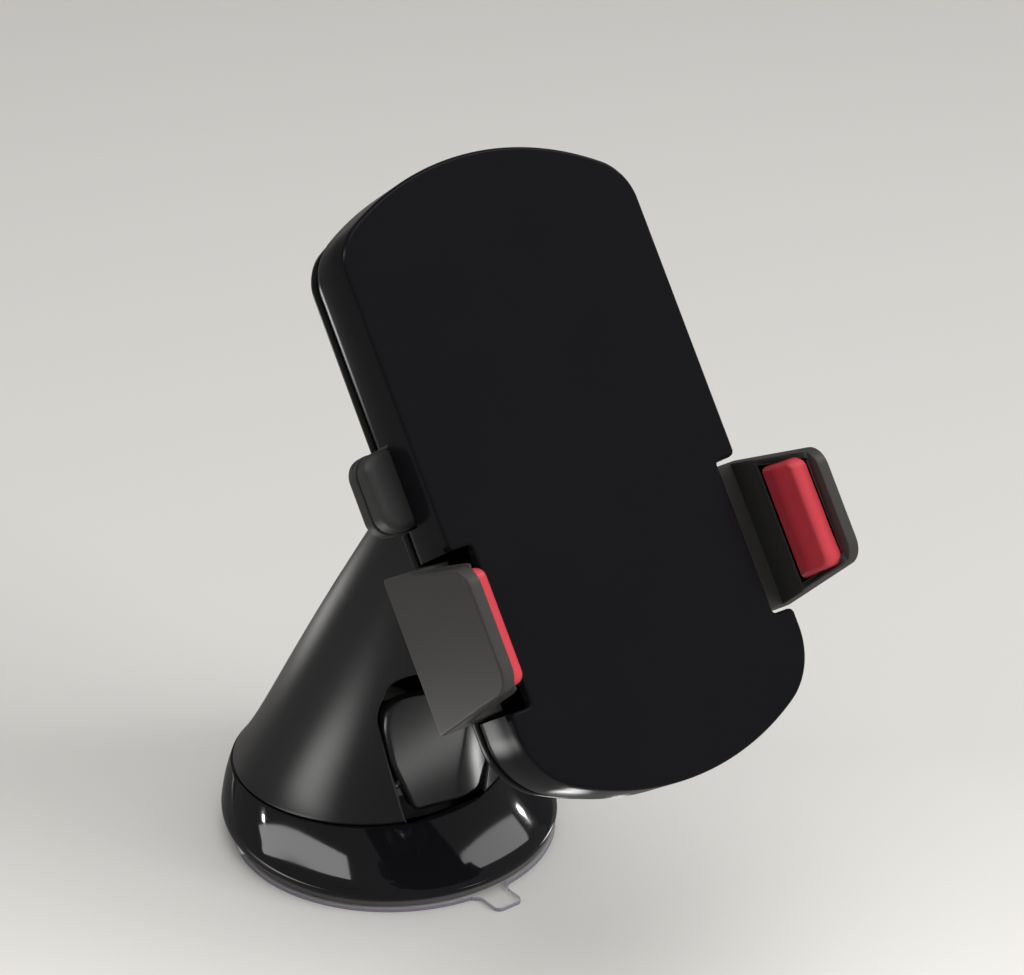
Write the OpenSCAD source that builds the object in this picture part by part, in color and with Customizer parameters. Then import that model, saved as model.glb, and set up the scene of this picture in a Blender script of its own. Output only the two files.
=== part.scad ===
// Suction cup phone holder: a leaning tower on a lever-locked suction base,
// a ball joint, and a cradle whose two padded jaws close on the phone's sides.
// The origin is on the table under the centre of the gel pad, +Z is up, and
// the lever, the pull tab and the cradle all face -Y.

/* [Suction base] */
// Radius of the clear gel pad
pad_r = 34; // [30:0.5:45]
// Thickness of the gel pad
pad_t = 1; // [0.8:0.1:2]
// Width of the pad's pull tab
tab_w = 6.5; // [4:0.5:12]
// Distance from the pad's centre to the tip of the pull tab
tab_reach = 40.7; // [38:0.1:50]
// Radius of the suction cup's lip
lip_r = 33.4; // [31:0.1:34]
// Thickness of the lip at its edge
lip_t = 0.9; // [0.6:0.1:1.5]
// Thickness of the cup's disc
cup_t = 2.2; // [1.5:0.1:3]
// Height of the sealed dome under the locked cup
dome_h = 3.4; // [2.6:0.1:3.6]
// Greatest radius of the base ring
ring_r = 35.1; // [34.5:0.1:42]
// Height of the base ring
ring_h = 10.3; // [10:0.1:14]
// Wall of the base ring's top and skirt
ring_wall = 2.2; // [1.6:0.1:2.4]
// Radius of the mounting plate
plate_r = 25.6; // [25.2:0.1:26]
// Thickness of the mounting plate
plate_t = 2.4; // [1.6:0.1:2.6]
// Radius of the pull stem
stem_r = 3; // [2.5:0.1:3.4]

/* [Tower] */
// Radius of the tower's foot
foot_r = 29.2; // [29:0.1:32]
// How far the tower's foot is set back from the cup's centre
foot_back = 8.5; // [8:0.1:9]
// How far the tower's nose leans forward of the cup's centre
nose_lean = 17; // [15:0.5:25]
// Height of the nose's centre above the table
nose_z = 77.2; // [75:0.1:95]
// Radius of the tower at its nose
nose_r = 12.5; // [12:0.1:14]
// Wall of the tower
tower_wall = 2.2; // [1.8:0.1:2.4]

/* [Locking lever] */
// Half width of the lever's recess at its widest
recess_w = 16; // [15:0.1:17]
// Height of the recess above the tower's foot
recess_h = 36; // [34:0.1:40]
// Half width of the lever at its widest
lever_w = 14.5; // [13:0.1:14.8]
// Length of the lever's plate
lever_l = 28.8; // [26:0.1:29.5]
// Thickness of the lever's plate
lever_t = 2.6; // [2.2:0.1:2.8]
// Radius of the lever's hinge pin
lever_pin_r = 1.25; // [1:0.05:1.3]
// Angle through which the lever opens
lever_open = 70; // [50:1:75]
// Drop of the cup's stem as the lever opens
cup_pull = 1.6; // [1:0.1:1.7]
// Depth of the finger scoop in the lever's face
scoop_depth = 1.4; // [0.4:0.1:1.6]

/* [Ball joint] */
// Radius of the ball
ball_r = 9; // [8.5:0.1:9.4]
// Radius of the neck under the ball
neck_r = 3.2; // [2.8:0.1:3.6]
// Lean of the ball stud from upright, in degrees
stud_lean = 45; // [40:1:48]
// Distance from the nose's centre to the ball's centre
ball_out = 24; // [24:0.5:28]
// Greatest radius of the collar nut
nut_r = 15; // [14.8:0.1:16]
// Number of grip flutes round the collar nut
nut_flutes = 14; // [8:1:20]

/* [Cradle] */
// Lean of the cradle's face from upright, in degrees
cradle_lean = 35.3; // [25:0.1:45]
// Half width of the cradle
cradle_w = 33; // [32.5:0.1:33.5]
// Length of the cradle
cradle_l = 120.5; // [118:0.5:130]
// Thickness of the front cover
front_t = 13; // [12.8:0.1:14]
// Thickness of the rear cover's visible edge
rear_t = 2.1; // [2:0.1:3]
// Wall of both covers
shell_wall = 2; // [1.6:0.1:2.2]
// Radius of the cradle's bowed ends
end_r = 55; // [50:1:70]
// Radius of the two upper corners
top_corner_r = 10; // [9.5:0.1:14]
// Radius of the two lower corners
low_corner_r = 14; // [10:0.5:14]

/* [Jaws] */
// Distance between the jaws' outer faces at rest
jaw_span = 82; // [81.6:0.1:83]
// Length of a jaw along the cradle
jaw_l = 29.7; // [29.5:0.1:30]
// Depth of a jaw from its back to its front edge
jaw_d = 27; // [24:0.1:30]
// How much each end of a jaw draws in from back to front
jaw_taper = 3.9; // [2:0.1:5]
// Thickness of a jaw's outer wall
jaw_wall = 2.5; // [2:0.1:2.8]
// Radius of a jaw's front corners
jaw_corner_r = 4.2; // [3:0.1:5]
// How far each jaw slides in from rest
jaw_in = 8; // [4:0.1:8]
// How far each jaw slides out from rest
jaw_out = 7; // [4:0.1:7]
// Height of a rubber pad's ridge above the jaw's wall
pad_ridge_h = 4; // [3:0.1:4.2]

/* [Release button] */
// Length of the release button along the cradle
button_l = 15.2; // [13:0.1:16]
// Depth of the button
button_d = 8; // [7:0.1:8.2]
// How far the button stands out of the cradle's side
button_out = 5.6; // [4.5:0.1:7]
// Travel of the button
button_travel = 2.5; // [1.5:0.1:2.6]

/* [Hidden] */
$fn = 64;

// Clearances: a hair for fits, a gap for running parts, a line between shells, and the overrun of cuts
fit_gap = 0.06;
slip_gap = 0.3;
seam_gap = 0.2;
over = 1;

// Colours
satin_black = [0.07, 0.07, 0.075];
gloss_black = [0.03, 0.03, 0.035];
matte_grey = [0.2, 0.2, 0.2];
coral = [0.86, 0.2, 0.24];
clear_gel = [0.8, 0.86, 0.9, 0.5];
steel = [0.65, 0.66, 0.68];
cup_grey = [0.1, 0.1, 0.1];
nylon = [0.85, 0.85, 0.82];

// Suction base, from the table upwards
tab_corner_r = 1.5;
ring_foot_z = pad_t + cup_t - lip_t + slip_gap;
ring_top_z = ring_foot_z + ring_h;
ring_roof_z = ring_top_z - ring_wall;
foot_z = ring_top_z + seam_gap;
window_r = 14;
loft_sides = 48;
ring_z_share = [0, 0.06, 0.155, 0.28, 0.476, 0.718, 0.9, 1];
ring_r_share = [0.78, 0.93, 1, 0.97, 0.76, 0.46, 0.18, 0.03];
stem_foot_r = 11;
stem_foot_t = 1.6;
stem_foot_z = pad_t + dome_h + lip_t;
cup_boss_r = stem_foot_r + cup_t;
cup_boss_top_z = stem_foot_z + stem_foot_t + lip_t;

// Tower outline: bow of the sides and flare of the foot, as shares of the foot's excess over the nose
bow_share = 0.183;
flare_share = 0.096;
flare_reach_share = 0.09;
side_share = 1 + bow_share - flare_share;
step_power = 1.4;
tower_steps = 9;
dome_steps = 6;
dome_h_nose = 13;
tower_h = nose_z - foot_z;
tower_lean = (foot_back + nose_lean) / tower_h;
nose_slope = (foot_r - nose_r) / tower_h * side_share;
top_point_r = 0.4;

// Mounting plate, its bush, its posts for the hinge pin, and the base screws
plate_y = 7.7;
plate_top_z = foot_z + plate_t;
bush_r = stem_r + ring_wall;
bush_low_z = cup_boss_top_z + cup_pull + slip_gap;
bush_top_z = plate_top_z + cup_t;
screw_r = 1.4;
screw_head_r = 2.9;
screw_head_h = 2;
screw_drive_r = 1.3;
screw_drive_h = 1.1;
screw_grip = 4.5;
screw_circle_r = 20.8;
screw_circle_y = 5;
screw_turn = 29;
screw_turns = [screw_turn, 180 - screw_turn, 180 + screw_turn, 360 - screw_turn];
boss_r = 3.5;
boss_h = 9;

// Lever hinge, cams and yoke
hinge_y = -15.5;
hinge_z = 21;
lever_foot_gap = 1.8;
lever_low_z = foot_z + lever_foot_gap;
cam_t = 3;
cam_in = 5;
cam_r = 4;
cam_lift = cup_pull / sin(lever_open / 2) / 2;
cam_angle = 90 - lever_open / 2;
cam_y = hinge_y - cam_lift * sin(cam_angle);
cam_z = hinge_z + cam_lift * cos(cam_angle);
cam_gap = 0.1;
web_h = 7;
yoke_z = cam_z + cam_r + cam_gap;
yoke_t = 2.4;
yoke_reach = 17.4;
nut_across_r = 4.6;
nut_t = 2.6;
stem_top_z = yoke_z + yoke_t + nut_t + seam_gap;
swing_w = 10.6;
swing_back_y = -9.5;
swing_front_y = -19.4;
notch_w = 9.4;
cheek_in = 10.9;
cheek_out = 13.6;
cheek_back_y = -12.2;
cheek_low_z = 17;
cheek_top_z = 25;
pin_half = 12.5;
post_out = 12.4;
post_front_y = -16.5;
post_back_y = -14.4;
recess_back_y = -9;
recess_w_share = [0.6, 0.86, 1, 0.85];
recess_z_share = [0, 0.45, 0.73, 1];
recess_round_share = [0, 1.2, 0.7, 0.34];
lever_w_share = [0.54, 0.89, 1, 0.955];
lever_z_share = [0, 0.437, 0.73, 1];
lever_round_share = [0.15, 1.4, 0.8, 0.38];

// Finger scoop: a shallow trough across the lever's left part that ends in a crease
scoop_r = 60;
scoop_l = 44;
scoop_side = 15;
scoop_turn = 25;
scoop_lean = 5;
scoop_z = 28;

// Ball stud, socket and nut, measured from the ball's centre
seat_out = 12.5;
seat_r = 9;
shank_r = 3;
shank_l = 10;
flange_r = 7;
flange_t = 1.4;
socket_r = ball_r + fit_gap;
hub_wall = 2.1;
hub_r = socket_r + hub_wall;
hub_end = 0.3;
nut_bore_r = hub_r + slip_gap;
nut_front = 13.5;
nut_shoulder = 0.6;
mouth_in = 1.4;
mouth_r = ball_r - mouth_in;
mouth_z = sqrt(socket_r * socket_r - mouth_r * mouth_r);
mouth_flare = 1.4;
nut_lip_t = 2;
nut_low = mouth_z + nut_lip_t;
nut_nose_r = 9.3;
nut_chamfer_z = 3.5;
nut_edge = 0.8;
flute_r = 2.2;
flute_depth = 0.9;
flute_low = 3;
ball_y = -nose_lean - ball_out * sin(stud_lean);
ball_z = nose_z + ball_out * cos(stud_lean);

// Cradle: x across, y up along the phone, z towards the phone, zero at the phone's glass
ball_v = 6.1;
ball_w = -40.9;
face_z = -10;
face_edge = 0.5;
front_back_z = face_z - front_t;
side_chamfer_h = 3;
side_chamfer = 0.8;
chamfer_mid_share = 0.25;
chamfer_ease_share = 0.9;
edge_ease_share = 0.3;
rear_edge_z = front_back_z - seam_gap;
rear_strip_z = rear_edge_z - rear_t;
rear_crown_h = 1.6;
crown_inset = 8.6;
crown_share = [0, 0.18, 0.48, 1];
crown_h_share = [0, 0.4, 0.7, 1];
inner_top_z = face_z - shell_wall;
floor_in = 0.6;
floor_z = front_back_z + floor_in;
pocket_depth = 2.2;
pocket_z = floor_z - pocket_depth;
rib_t = 1.8;
rail_w = 5;
rib_u = 15;
rib_places = [-52, 24, 36, 50];
lip_inset = side_chamfer + shell_wall + slip_gap;
top_v = 61;
low_v = top_v - cradle_l;
top_centre = top_v - end_r;
low_centre = low_v + end_r;
top_corner_u = cradle_w - top_corner_r;
low_corner_u = cradle_w - low_corner_r;
top_corner_v = top_centre + sqrt(pow(end_r - top_corner_r, 2) - pow(top_corner_u, 2));
low_corner_v = low_centre - sqrt(pow(end_r - low_corner_r, 2) - pow(low_corner_u, 2));
top_turn = atan2(top_corner_v - top_centre, top_corner_u);
low_turn = atan2(low_centre - low_corner_v, low_corner_u);
corner_steps = 7;
end_steps = 12;

// Cover screws and their bosses
cover_screw_u = 20;
cover_screw_top = 43;
cover_screw_low = -44.5;
cover_screw_r = 1.15;
cover_head_r = 2.3;
cover_head_h = 1.5;
cover_screw_l = 10;
cover_boss_r = 3.2;

// Jaws
jaw_v = -22.05;
jaw_lift = 1;
jaw_back_z = front_back_z + jaw_lift;
jaw_front_z = jaw_back_z + jaw_d;
jaw_back_r = 1;
jaw_u = jaw_span / 2;
jaw_wall_u = jaw_u - jaw_wall;
jaw_head_t = 2.7;
jaw_head_u = jaw_wall_u - jaw_head_t;
jaw_root_t = 1.7;
jaw_root_u = jaw_wall_u - jaw_root_t;
head_gap = 0.4;
head_z = face_z + head_gap;
jaw_rim = 1.3;
tray_t = 4.4;
tray_u = 29.5;
notch_u = min(jaw_root_u - jaw_in, cradle_w - side_chamfer - shell_wall) - slip_gap;
notch_v = jaw_l / 2 + slip_gap;
guide_u = 14;
guide_w = 2.3;
guide_inset = 0.6;
pad_gap = 0.1;
pad_ledge_t = 1;
pad_back_z = head_z + pad_ledge_t;
pad_set_back = 2.5;
pad_front_z = jaw_front_z - pad_set_back;
pad_w_share = [0.58, 0.7, 0.73, 0.9, 1, 0.86];
pad_z_share = [0, 0.2, 0.62, 0.78, 0.91, 0.98];

// Rack and pinion
pinion_v = -22;
pinion_teeth = 12;
pitch_r = 6;
pressure = 20;
base_r = pitch_r * cos(pressure);
tooth_add = 0.9;
tooth_ded = 0.95;
tip_r = pitch_r + tooth_add;
root_r = pitch_r - tooth_ded;
flank_steps = 3;
tooth_play = 0.08;
rack_pitch = pitch_r * 2 * PI / pinion_teeth;
tooth_half = rack_pitch / 4 - tooth_play;
rack_add = 0.7;
rack_ded = 1.15;
rack_back = 5.6;
rack_t = 6;
rack_end = 6;
rack_tip_u = jaw_out + rack_end;
rack_teeth = 4;
pinion_t = 5;
pinion_z = floor_z + slip_gap;
axle_r = 2;
coil_r = 3.6;
coil_wall = 1;

// Release button, its spring and the pawl
button_v = 7.25;
button_lift = 1;
button_mid_z = front_back_z + button_lift;
button_u = cradle_w + button_out;
button_front_r = 2.6;
button_corner_r = 2;
button_groove = 0.5;
button_groove_z = 1.6;
button_in_u = cradle_w - side_chamfer - shell_wall - slip_gap;
button_lip = 1.2;
button_lip_t = 1.6;
button_lip_front = 5.6;
tongue_t = 3.2;
tongue_r = 2;
tongue_z = floor_z + slip_gap;
pawl_u = 9.5;
pawl_v = 1;
pawl_t = 4;
pawl_arm_r = 1.1;
pawl_hub_r = 2.6;
pawl_pin_r = 1.2;
pawl_tooth_u = 5;
ratchet_gap = 0.3;
ratchet_pitch = 2;
ratchet_h = 0.9;
ratchet_teeth = 7;
tongue_tip_u = pawl_u + pawl_arm_r + slip_gap + tongue_r;
coil2_r = 1.8;
coil2_l = 7.6;
coil2_off = 5;
coil2_v = button_v + coil2_off;
rest_post_u = button_in_u - button_lip_t - coil2_l - button_travel - slip_gap * 2;

// A closed outline with an arc of its own radius at each corner
function unit(a) = a / norm(a);
function corner_arc(p, a, b, r, n) =
    let (u = unit(a - p), v = unit(b - p), ang = acos(u * v) / 2,
         c = p + unit(u + v) * r / sin(ang),
         s = atan2((p + u * r / tan(ang) - c)[1], (p + u * r / tan(ang) - c)[0]),
         e = atan2((p + v * r / tan(ang) - c)[1], (p + v * r / tan(ang) - c)[0]),
         t = e - s > 180 ? e - s - 360 : (e - s < -180 ? e - s + 360 : e - s))
    [for (i = [0 : n]) c + r * [cos(s + t * i / n), sin(s + t * i / n)]];
function rounded_path(pts, radii, n = 6) =
    let (m = len(pts))
    [for (i = [0 : m - 1])
        for (q = radii[i] > 0 ? corner_arc(pts[i], pts[(i + m - 1) % m], pts[(i + 1) % m], radii[i], n)
                              : [pts[i]]) q];

// Half outline mirrored into a closed one; widths, heights and radii come from shares
function mirrored_outline(w, low, h, ws, zs, rs) =
    let (n = len(ws) - 1,
         right = [for (i = [0 : n]) [w * ws[i], low + h * zs[i]]],
         left = [for (i = [n : -1 : 0]) [-w * ws[i], low + h * zs[i]]],
         r1 = [for (i = [0 : n]) w * rs[i]],
         r2 = [for (i = [n : -1 : 0]) w * rs[i]])
    rounded_path(concat(right, left), concat(r1, r2));

// A solid through stacked closed outlines that all have the same number of points
module skin(outlines) {
    n = len(outlines[0]);
    m = len(outlines);
    polyhedron(
        points = [for (o = outlines) for (p = o) p],
        faces = concat(
            [[for (i = [0 : n - 1]) i]],
            [[for (i = [n - 1 : -1 : 0]) (m - 1) * n + i]],
            [for (k = [0 : m - 2]) for (i = [0 : n - 1])
                [k * n + i, (k + 1) * n + i, (k + 1) * n + (i + 1) % n]],
            [for (k = [0 : m - 2]) for (i = [0 : n - 1])
                [k * n + i, (k + 1) * n + (i + 1) % n, k * n + (i + 1) % n]]));
}
function circle_at(z, y, r) =
    [for (i = [0 : loft_sides - 1]) [r * cos(360 * i / loft_sides), y + r * sin(360 * i / loft_sides), z]];

// Tower outline: radius at a share of the height, and the leaning centre line
function tower_share(t) =
    side_share * (1 - t) - bow_share * pow(1 - t, 2) + flare_share * exp(-t / flare_reach_share);
function tower_r(t) = nose_r + (foot_r - nose_r) * tower_share(t);
function tower_y(z) = foot_back - tower_lean * (z - foot_z);
function dome_r(s) = (nose_r - nose_slope * dome_h_nose * s) * sqrt(max(0, 1 - pow(s, 3)));

// Cradle outline with every edge drawn in by d, at height z
function turned(c, r, a) = c + r * [cos(a), sin(a)];
function cradle_ring(d, z) =
    let (tc = [top_corner_u, top_corner_v], tm = [-top_corner_u, top_corner_v],
         lc = [low_corner_u, low_corner_v], lm = [-low_corner_u, low_corner_v])
    [for (p = concat(
        [for (i = [0 : corner_steps]) turned(tc, top_corner_r - d, top_turn * i / corner_steps)],
        [for (i = [1 : end_steps - 1])
            turned([0, top_centre], end_r - d, top_turn + (180 - 2 * top_turn) * i / end_steps)],
        [for (i = [0 : corner_steps])
            turned(tm, top_corner_r - d, 180 - top_turn + top_turn * i / corner_steps)],
        [for (i = [0 : corner_steps]) turned(lm, low_corner_r - d, 180 + low_turn * i / corner_steps)],
        [for (i = [1 : end_steps - 1])
            turned([0, low_centre], end_r - d, 180 + low_turn + (180 - 2 * low_turn) * i / end_steps)],
        [for (i = [0 : corner_steps])
            turned(lc, low_corner_r - d, 360 - low_turn + low_turn * i / corner_steps)]))
        [p[0], p[1], z]];

// Placing helpers
module at_ball() {
    translate([0, ball_y, ball_z])
        children();
}
module along_stud() {
    at_ball()
        rotate([stud_lean, 0, 0])
            children();
}
module in_cradle() {
    at_ball()
        rotate([90 - cradle_lean, 0, 0])
            translate([0, -ball_v, -ball_w])
                children();
}
module both_sides() {
    children();
    mirror([1, 0, 0])
        children();
}
module on_left() {
    mirror([1, 0, 0])
        children();
}
module at_base_screws() {
    for (a = screw_turns)
        translate([screw_circle_r * cos(a), screw_circle_y + screw_circle_r * sin(a), 0])
            children();
}
module at_cover_screws() {
    both_sides()
        for (v = [cover_screw_low, cover_screw_top])
            translate([cover_screw_u, v, 0])
                children();
}

// Extrudes a flat outline drawn in the YZ plane from x0 to x1
module across(x0, x1) {
    translate([x0, 0, 0])
        rotate([90, 0, 90])
            linear_extrude(height = x1 - x0)
                children();
}

module gel_pad() {
    color(clear_gel)
        linear_extrude(height = pad_t)
            union() {
                circle(r = pad_r, $fn = 96);
                polygon(rounded_path(
                    [[-tab_w / 2, 0], [-tab_w / 2, -tab_reach], [tab_w / 2, -tab_reach], [tab_w / 2, 0]],
                    [0, tab_corner_r, tab_corner_r, 0]));
            }
}

// Section of the cup: flared lip, sloping disc, and the boss that holds the stem's foot
module suction_cup() {
    color(cup_grey)
        difference() {
            rotate_extrude($fn = 96)
                polygon([
                    [0, pad_t + dome_h],
                    [cup_boss_r / 2, pad_t + dome_h],
                    [cup_boss_r, pad_t + dome_h / 2],
                    [lip_r - cup_t - cup_t, pad_t],
                    [lip_r, pad_t],
                    [lip_r, pad_t + lip_t / 2],
                    [lip_r - lip_t, pad_t + lip_t],
                    [lip_r - cup_t, ring_foot_z - slip_gap],
                    [cup_boss_r + cup_t, cup_boss_top_z - cup_t],
                    [cup_boss_r, cup_boss_top_z],
                    [0, cup_boss_top_z]]);
            translate([0, 0, stem_foot_z - fit_gap])
                cylinder(h = stem_foot_t + fit_gap + fit_gap, r = stem_foot_r + fit_gap);
            translate([0, 0, stem_foot_z])
                cylinder(h = cup_boss_top_z, r = stem_r + fit_gap);
        }
}

module ring_solid(inset) {
    skin([for (i = [0 : len(ring_z_share) - 1])
        circle_at(ring_foot_z + ring_h * ring_z_share[i], foot_back * ring_z_share[i],
                  foot_r + (ring_r - foot_r) * ring_r_share[i] - inset)]);
}

// Bowl under the tower: a skirt round the cup, and a roof with the stem's window and the screw holes
module base_ring() {
    color(gloss_black)
        difference() {
            ring_solid(0);
            intersection() {
                translate([0, 0, -fit_gap])
                    ring_solid(ring_wall);
                cylinder(h = ring_roof_z, r = ring_r + foot_back);
            }
            translate([0, 0, ring_foot_z])
                cylinder(h = ring_h + over, r = window_r);
            translate([-notch_w, swing_front_y, ring_foot_z])
                cube([notch_w + notch_w, -swing_front_y, ring_h + over]);
            at_base_screws()
                translate([0, 0, ring_foot_z])
                    cylinder(h = ring_h + over, r = screw_r + fit_gap);
        }
}

// Plate in the tower's foot: carries the stem's bush and closes the hinge pin's slots with two posts
module mounting_plate() {
    color(nylon)
        difference() {
            union() {
                difference() {
                    translate([0, plate_y, foot_z])
                        cylinder(h = plate_t, r = plate_r);
                    translate([-swing_w, swing_back_y - plate_r, ring_top_z])
                        cube([swing_w + swing_w, plate_r, plate_t + over]);
                }
                translate([0, 0, bush_low_z])
                    cylinder(h = bush_top_z - bush_low_z, r = bush_r);
                both_sides() {
                    translate([cheek_in, post_front_y, foot_z])
                        cube([post_out - cheek_in, post_back_y - post_front_y, hinge_z - foot_z]);
                    translate([cheek_in, post_front_y, foot_z])
                        cube([post_out - cheek_in, cheek_back_y - post_front_y, cheek_low_z - foot_z - slip_gap]);
                }
            }
            translate([0, 0, bush_low_z - over])
                cylinder(h = bush_top_z, r = stem_r + fit_gap);
            at_base_screws()
                translate([0, 0, ring_top_z])
                    cylinder(h = plate_t + over, r = screw_r + fit_gap);
            hinge_bore(lever_pin_r + fit_gap, post_out + over);
        }
}
module hinge_bore(r, w) {
    translate([-w, hinge_y, hinge_z])
        rotate([0, 90, 0])
            cylinder(h = w + w, r = r);
}

module base_screws() {
    color(steel)
        at_base_screws()
            difference() {
                union() {
                    translate([0, 0, ring_roof_z - screw_head_h])
                        cylinder(h = screw_head_h, r = screw_head_r);
                    translate([0, 0, ring_roof_z - fit_gap])
                        cylinder(h = plate_top_z + screw_grip - ring_roof_z, r = screw_r);
                }
                translate([0, 0, ring_roof_z - screw_head_h - over])
                    cylinder(h = screw_drive_h + over, r = screw_drive_r, $fn = 6);
            }
}

module tower_solid(inset) {
    skin(concat(
        [for (i = [0 : tower_steps])
            let (t = pow(i / tower_steps, step_power), z = foot_z + tower_h * t)
            circle_at(z, tower_y(z), tower_r(t) - inset)],
        [for (i = [1 : dome_steps])
            let (s = i / dome_steps, z = nose_z + (dome_h_nose - inset) * s)
            circle_at(z, tower_y(z), max(dome_r(s) - inset * (1 - s), top_point_r))]));
}

// A front outline carried through the tower's wall
module through_front(outline) {
    translate([0, recess_back_y, 0])
        rotate([90, 0, 0])
            linear_extrude(height = foot_r + nose_r)
                polygon(outline);
}
module recess_cut() {
    through_front(mirrored_outline(recess_w, foot_z - over, recess_h + over,
                                   recess_w_share, recess_z_share, recess_round_share));
}

module tower_shell() {
    color(satin_black)
        difference() {
            union() {
                difference() {
                    tower_solid(0);
                    translate([0, 0, -fit_gap])
                        tower_solid(tower_wall);
                }
                intersection() {
                    tower_solid(tower_wall / 2);
                    union() {
                        at_base_screws()
                            translate([0, 0, plate_top_z])
                                cylinder(h = boss_h, r = boss_r);
                        both_sides()
                            translate([cheek_in, -foot_r, cheek_low_z])
                                cube([cheek_out - cheek_in, foot_r + cheek_back_y, cheek_top_z - cheek_low_z]);
                        along_stud()
                            translate([0, 0, -ball_out - shank_l / 4])
                                cylinder(h = ball_out, r = seat_r);
                    }
                }
            }
            recess_cut();
            along_stud() {
                translate([0, 0, -seat_out])
                    cylinder(h = ball_out, r = nut_r);
                translate([0, 0, -seat_out - shank_l - slip_gap])
                    cylinder(h = shank_l + over, r = shank_r + fit_gap);
            }
            at_base_screws()
                translate([0, 0, foot_z])
                    cylinder(h = plate_t + screw_grip + over, r = screw_r + fit_gap);
            hinge_bore(lever_pin_r + fit_gap, pin_half + fit_gap);
            both_sides()
                translate([0, hinge_y - lever_pin_r - fit_gap, foot_z - over])
                    cube([pin_half + fit_gap, lever_pin_r * 2 + fit_gap * 2, hinge_z - foot_z + over]);
        }
}

// Flush plate with a finger scoop, two cams behind it and the hinge pin's bore through them
module lever() {
    color(satin_black)
        difference() {
            union() {
                intersection() {
                    through_front(mirrored_outline(lever_w, lever_low_z, lever_l,
                                                   lever_w_share, lever_z_share, lever_round_share));
                    difference() {
                        tower_solid(0);
                        tower_solid(lever_t);
                    }
                }
                intersection() {
                    tower_solid(lever_t / 2);
                    both_sides() {
                        translate([cam_in, cam_y, cam_z])
                            rotate([0, 90, 0])
                                cylinder(h = cam_t, r = cam_r);
                        translate([cam_in, -foot_r, cam_z + cam_r - over - web_h])
                            cube([cam_t, foot_r + cam_y, web_h]);
                    }
                }
            }
            hinge_bore(lever_pin_r + fit_gap, lever_w);
            translate([0, tower_y(scoop_z), scoop_z])
                rotate([0, 0, -scoop_side])
                    translate([0, scoop_depth - scoop_r - tower_r((scoop_z - foot_z) / tower_h), 0])
                        rotate([scoop_lean, -scoop_turn, 0])
                            cylinder(h = scoop_l, r = scoop_r, center = true, $fn = 180);
        }
}

module lever_pin() {
    color(steel)
        hinge_bore(lever_pin_r, pin_half);
}

module cup_stem() {
    color(nylon) {
        translate([0, 0, stem_foot_z])
            cylinder(h = stem_foot_t, r = stem_foot_r);
        translate([0, 0, stem_foot_z])
            cylinder(h = stem_top_z - stem_foot_z, r = stem_r);
    }
}

module pull_yoke() {
    color(steel)
        difference() {
            union() {
                translate([0, 0, yoke_z])
                    cylinder(h = yoke_t, r = bush_r);
                translate([-cam_in - cam_t, -stem_r, yoke_z])
                    cube([cam_in * 2 + cam_t * 2, stem_r * 2, yoke_t]);
                both_sides()
                    translate([cam_in, -yoke_reach, yoke_z])
                        cube([cam_t, yoke_reach, yoke_t]);
            }
            translate([0, 0, yoke_z - over])
                cylinder(h = yoke_t + over + over, r = stem_r + fit_gap);
        }
}

module stem_nut() {
    color(steel)
        difference() {
            translate([0, 0, yoke_z + yoke_t])
                cylinder(h = nut_t, r = nut_across_r, $fn = 6);
            translate([0, 0, yoke_z])
                cylinder(h = yoke_t + nut_t + over, r = stem_r + fit_gap);
        }
}

module ball_stud() {
    color(steel)
        along_stud() {
            sphere(r = ball_r, $fn = 96);
            translate([0, 0, -seat_out + cam_gap])
                cylinder(h = seat_out - cam_gap, r = neck_r);
            translate([0, 0, -seat_out + cam_gap])
                cylinder(h = flange_t, r = flange_r);
            translate([0, 0, -seat_out - shank_l])
                cylinder(h = shank_l + flange_t, r = shank_r);
        }
}

// Collar nut: bore over the socket's hub, seat for the ball, flared mouth and a fluted grip
module collar_nut() {
    color(satin_black)
        in_cradle()
            translate([0, ball_v, ball_w])
                difference() {
                    rotate_extrude($fn = 96)
                        polygon([
                            [mouth_r + mouth_flare, -nut_low],
                            [nut_nose_r, -nut_low],
                            [nut_r, -nut_chamfer_z],
                            [nut_r, nut_front - nut_edge],
                            [nut_r - nut_edge, nut_front],
                            [nut_bore_r, nut_front],
                            [nut_bore_r, -nut_shoulder],
                            [mouth_r, -nut_shoulder],
                            [mouth_r, -mouth_z]]);
                    sphere(r = socket_r, $fn = 96);
                    for (i = [1 : nut_flutes])
                        rotate([0, 0, 360 * i / nut_flutes])
                            translate([nut_r + flute_r - flute_depth, 0, -flute_low])
                                cylinder(h = nut_front + nut_low, r = flute_r, $fn = 24);
                }
}

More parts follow.
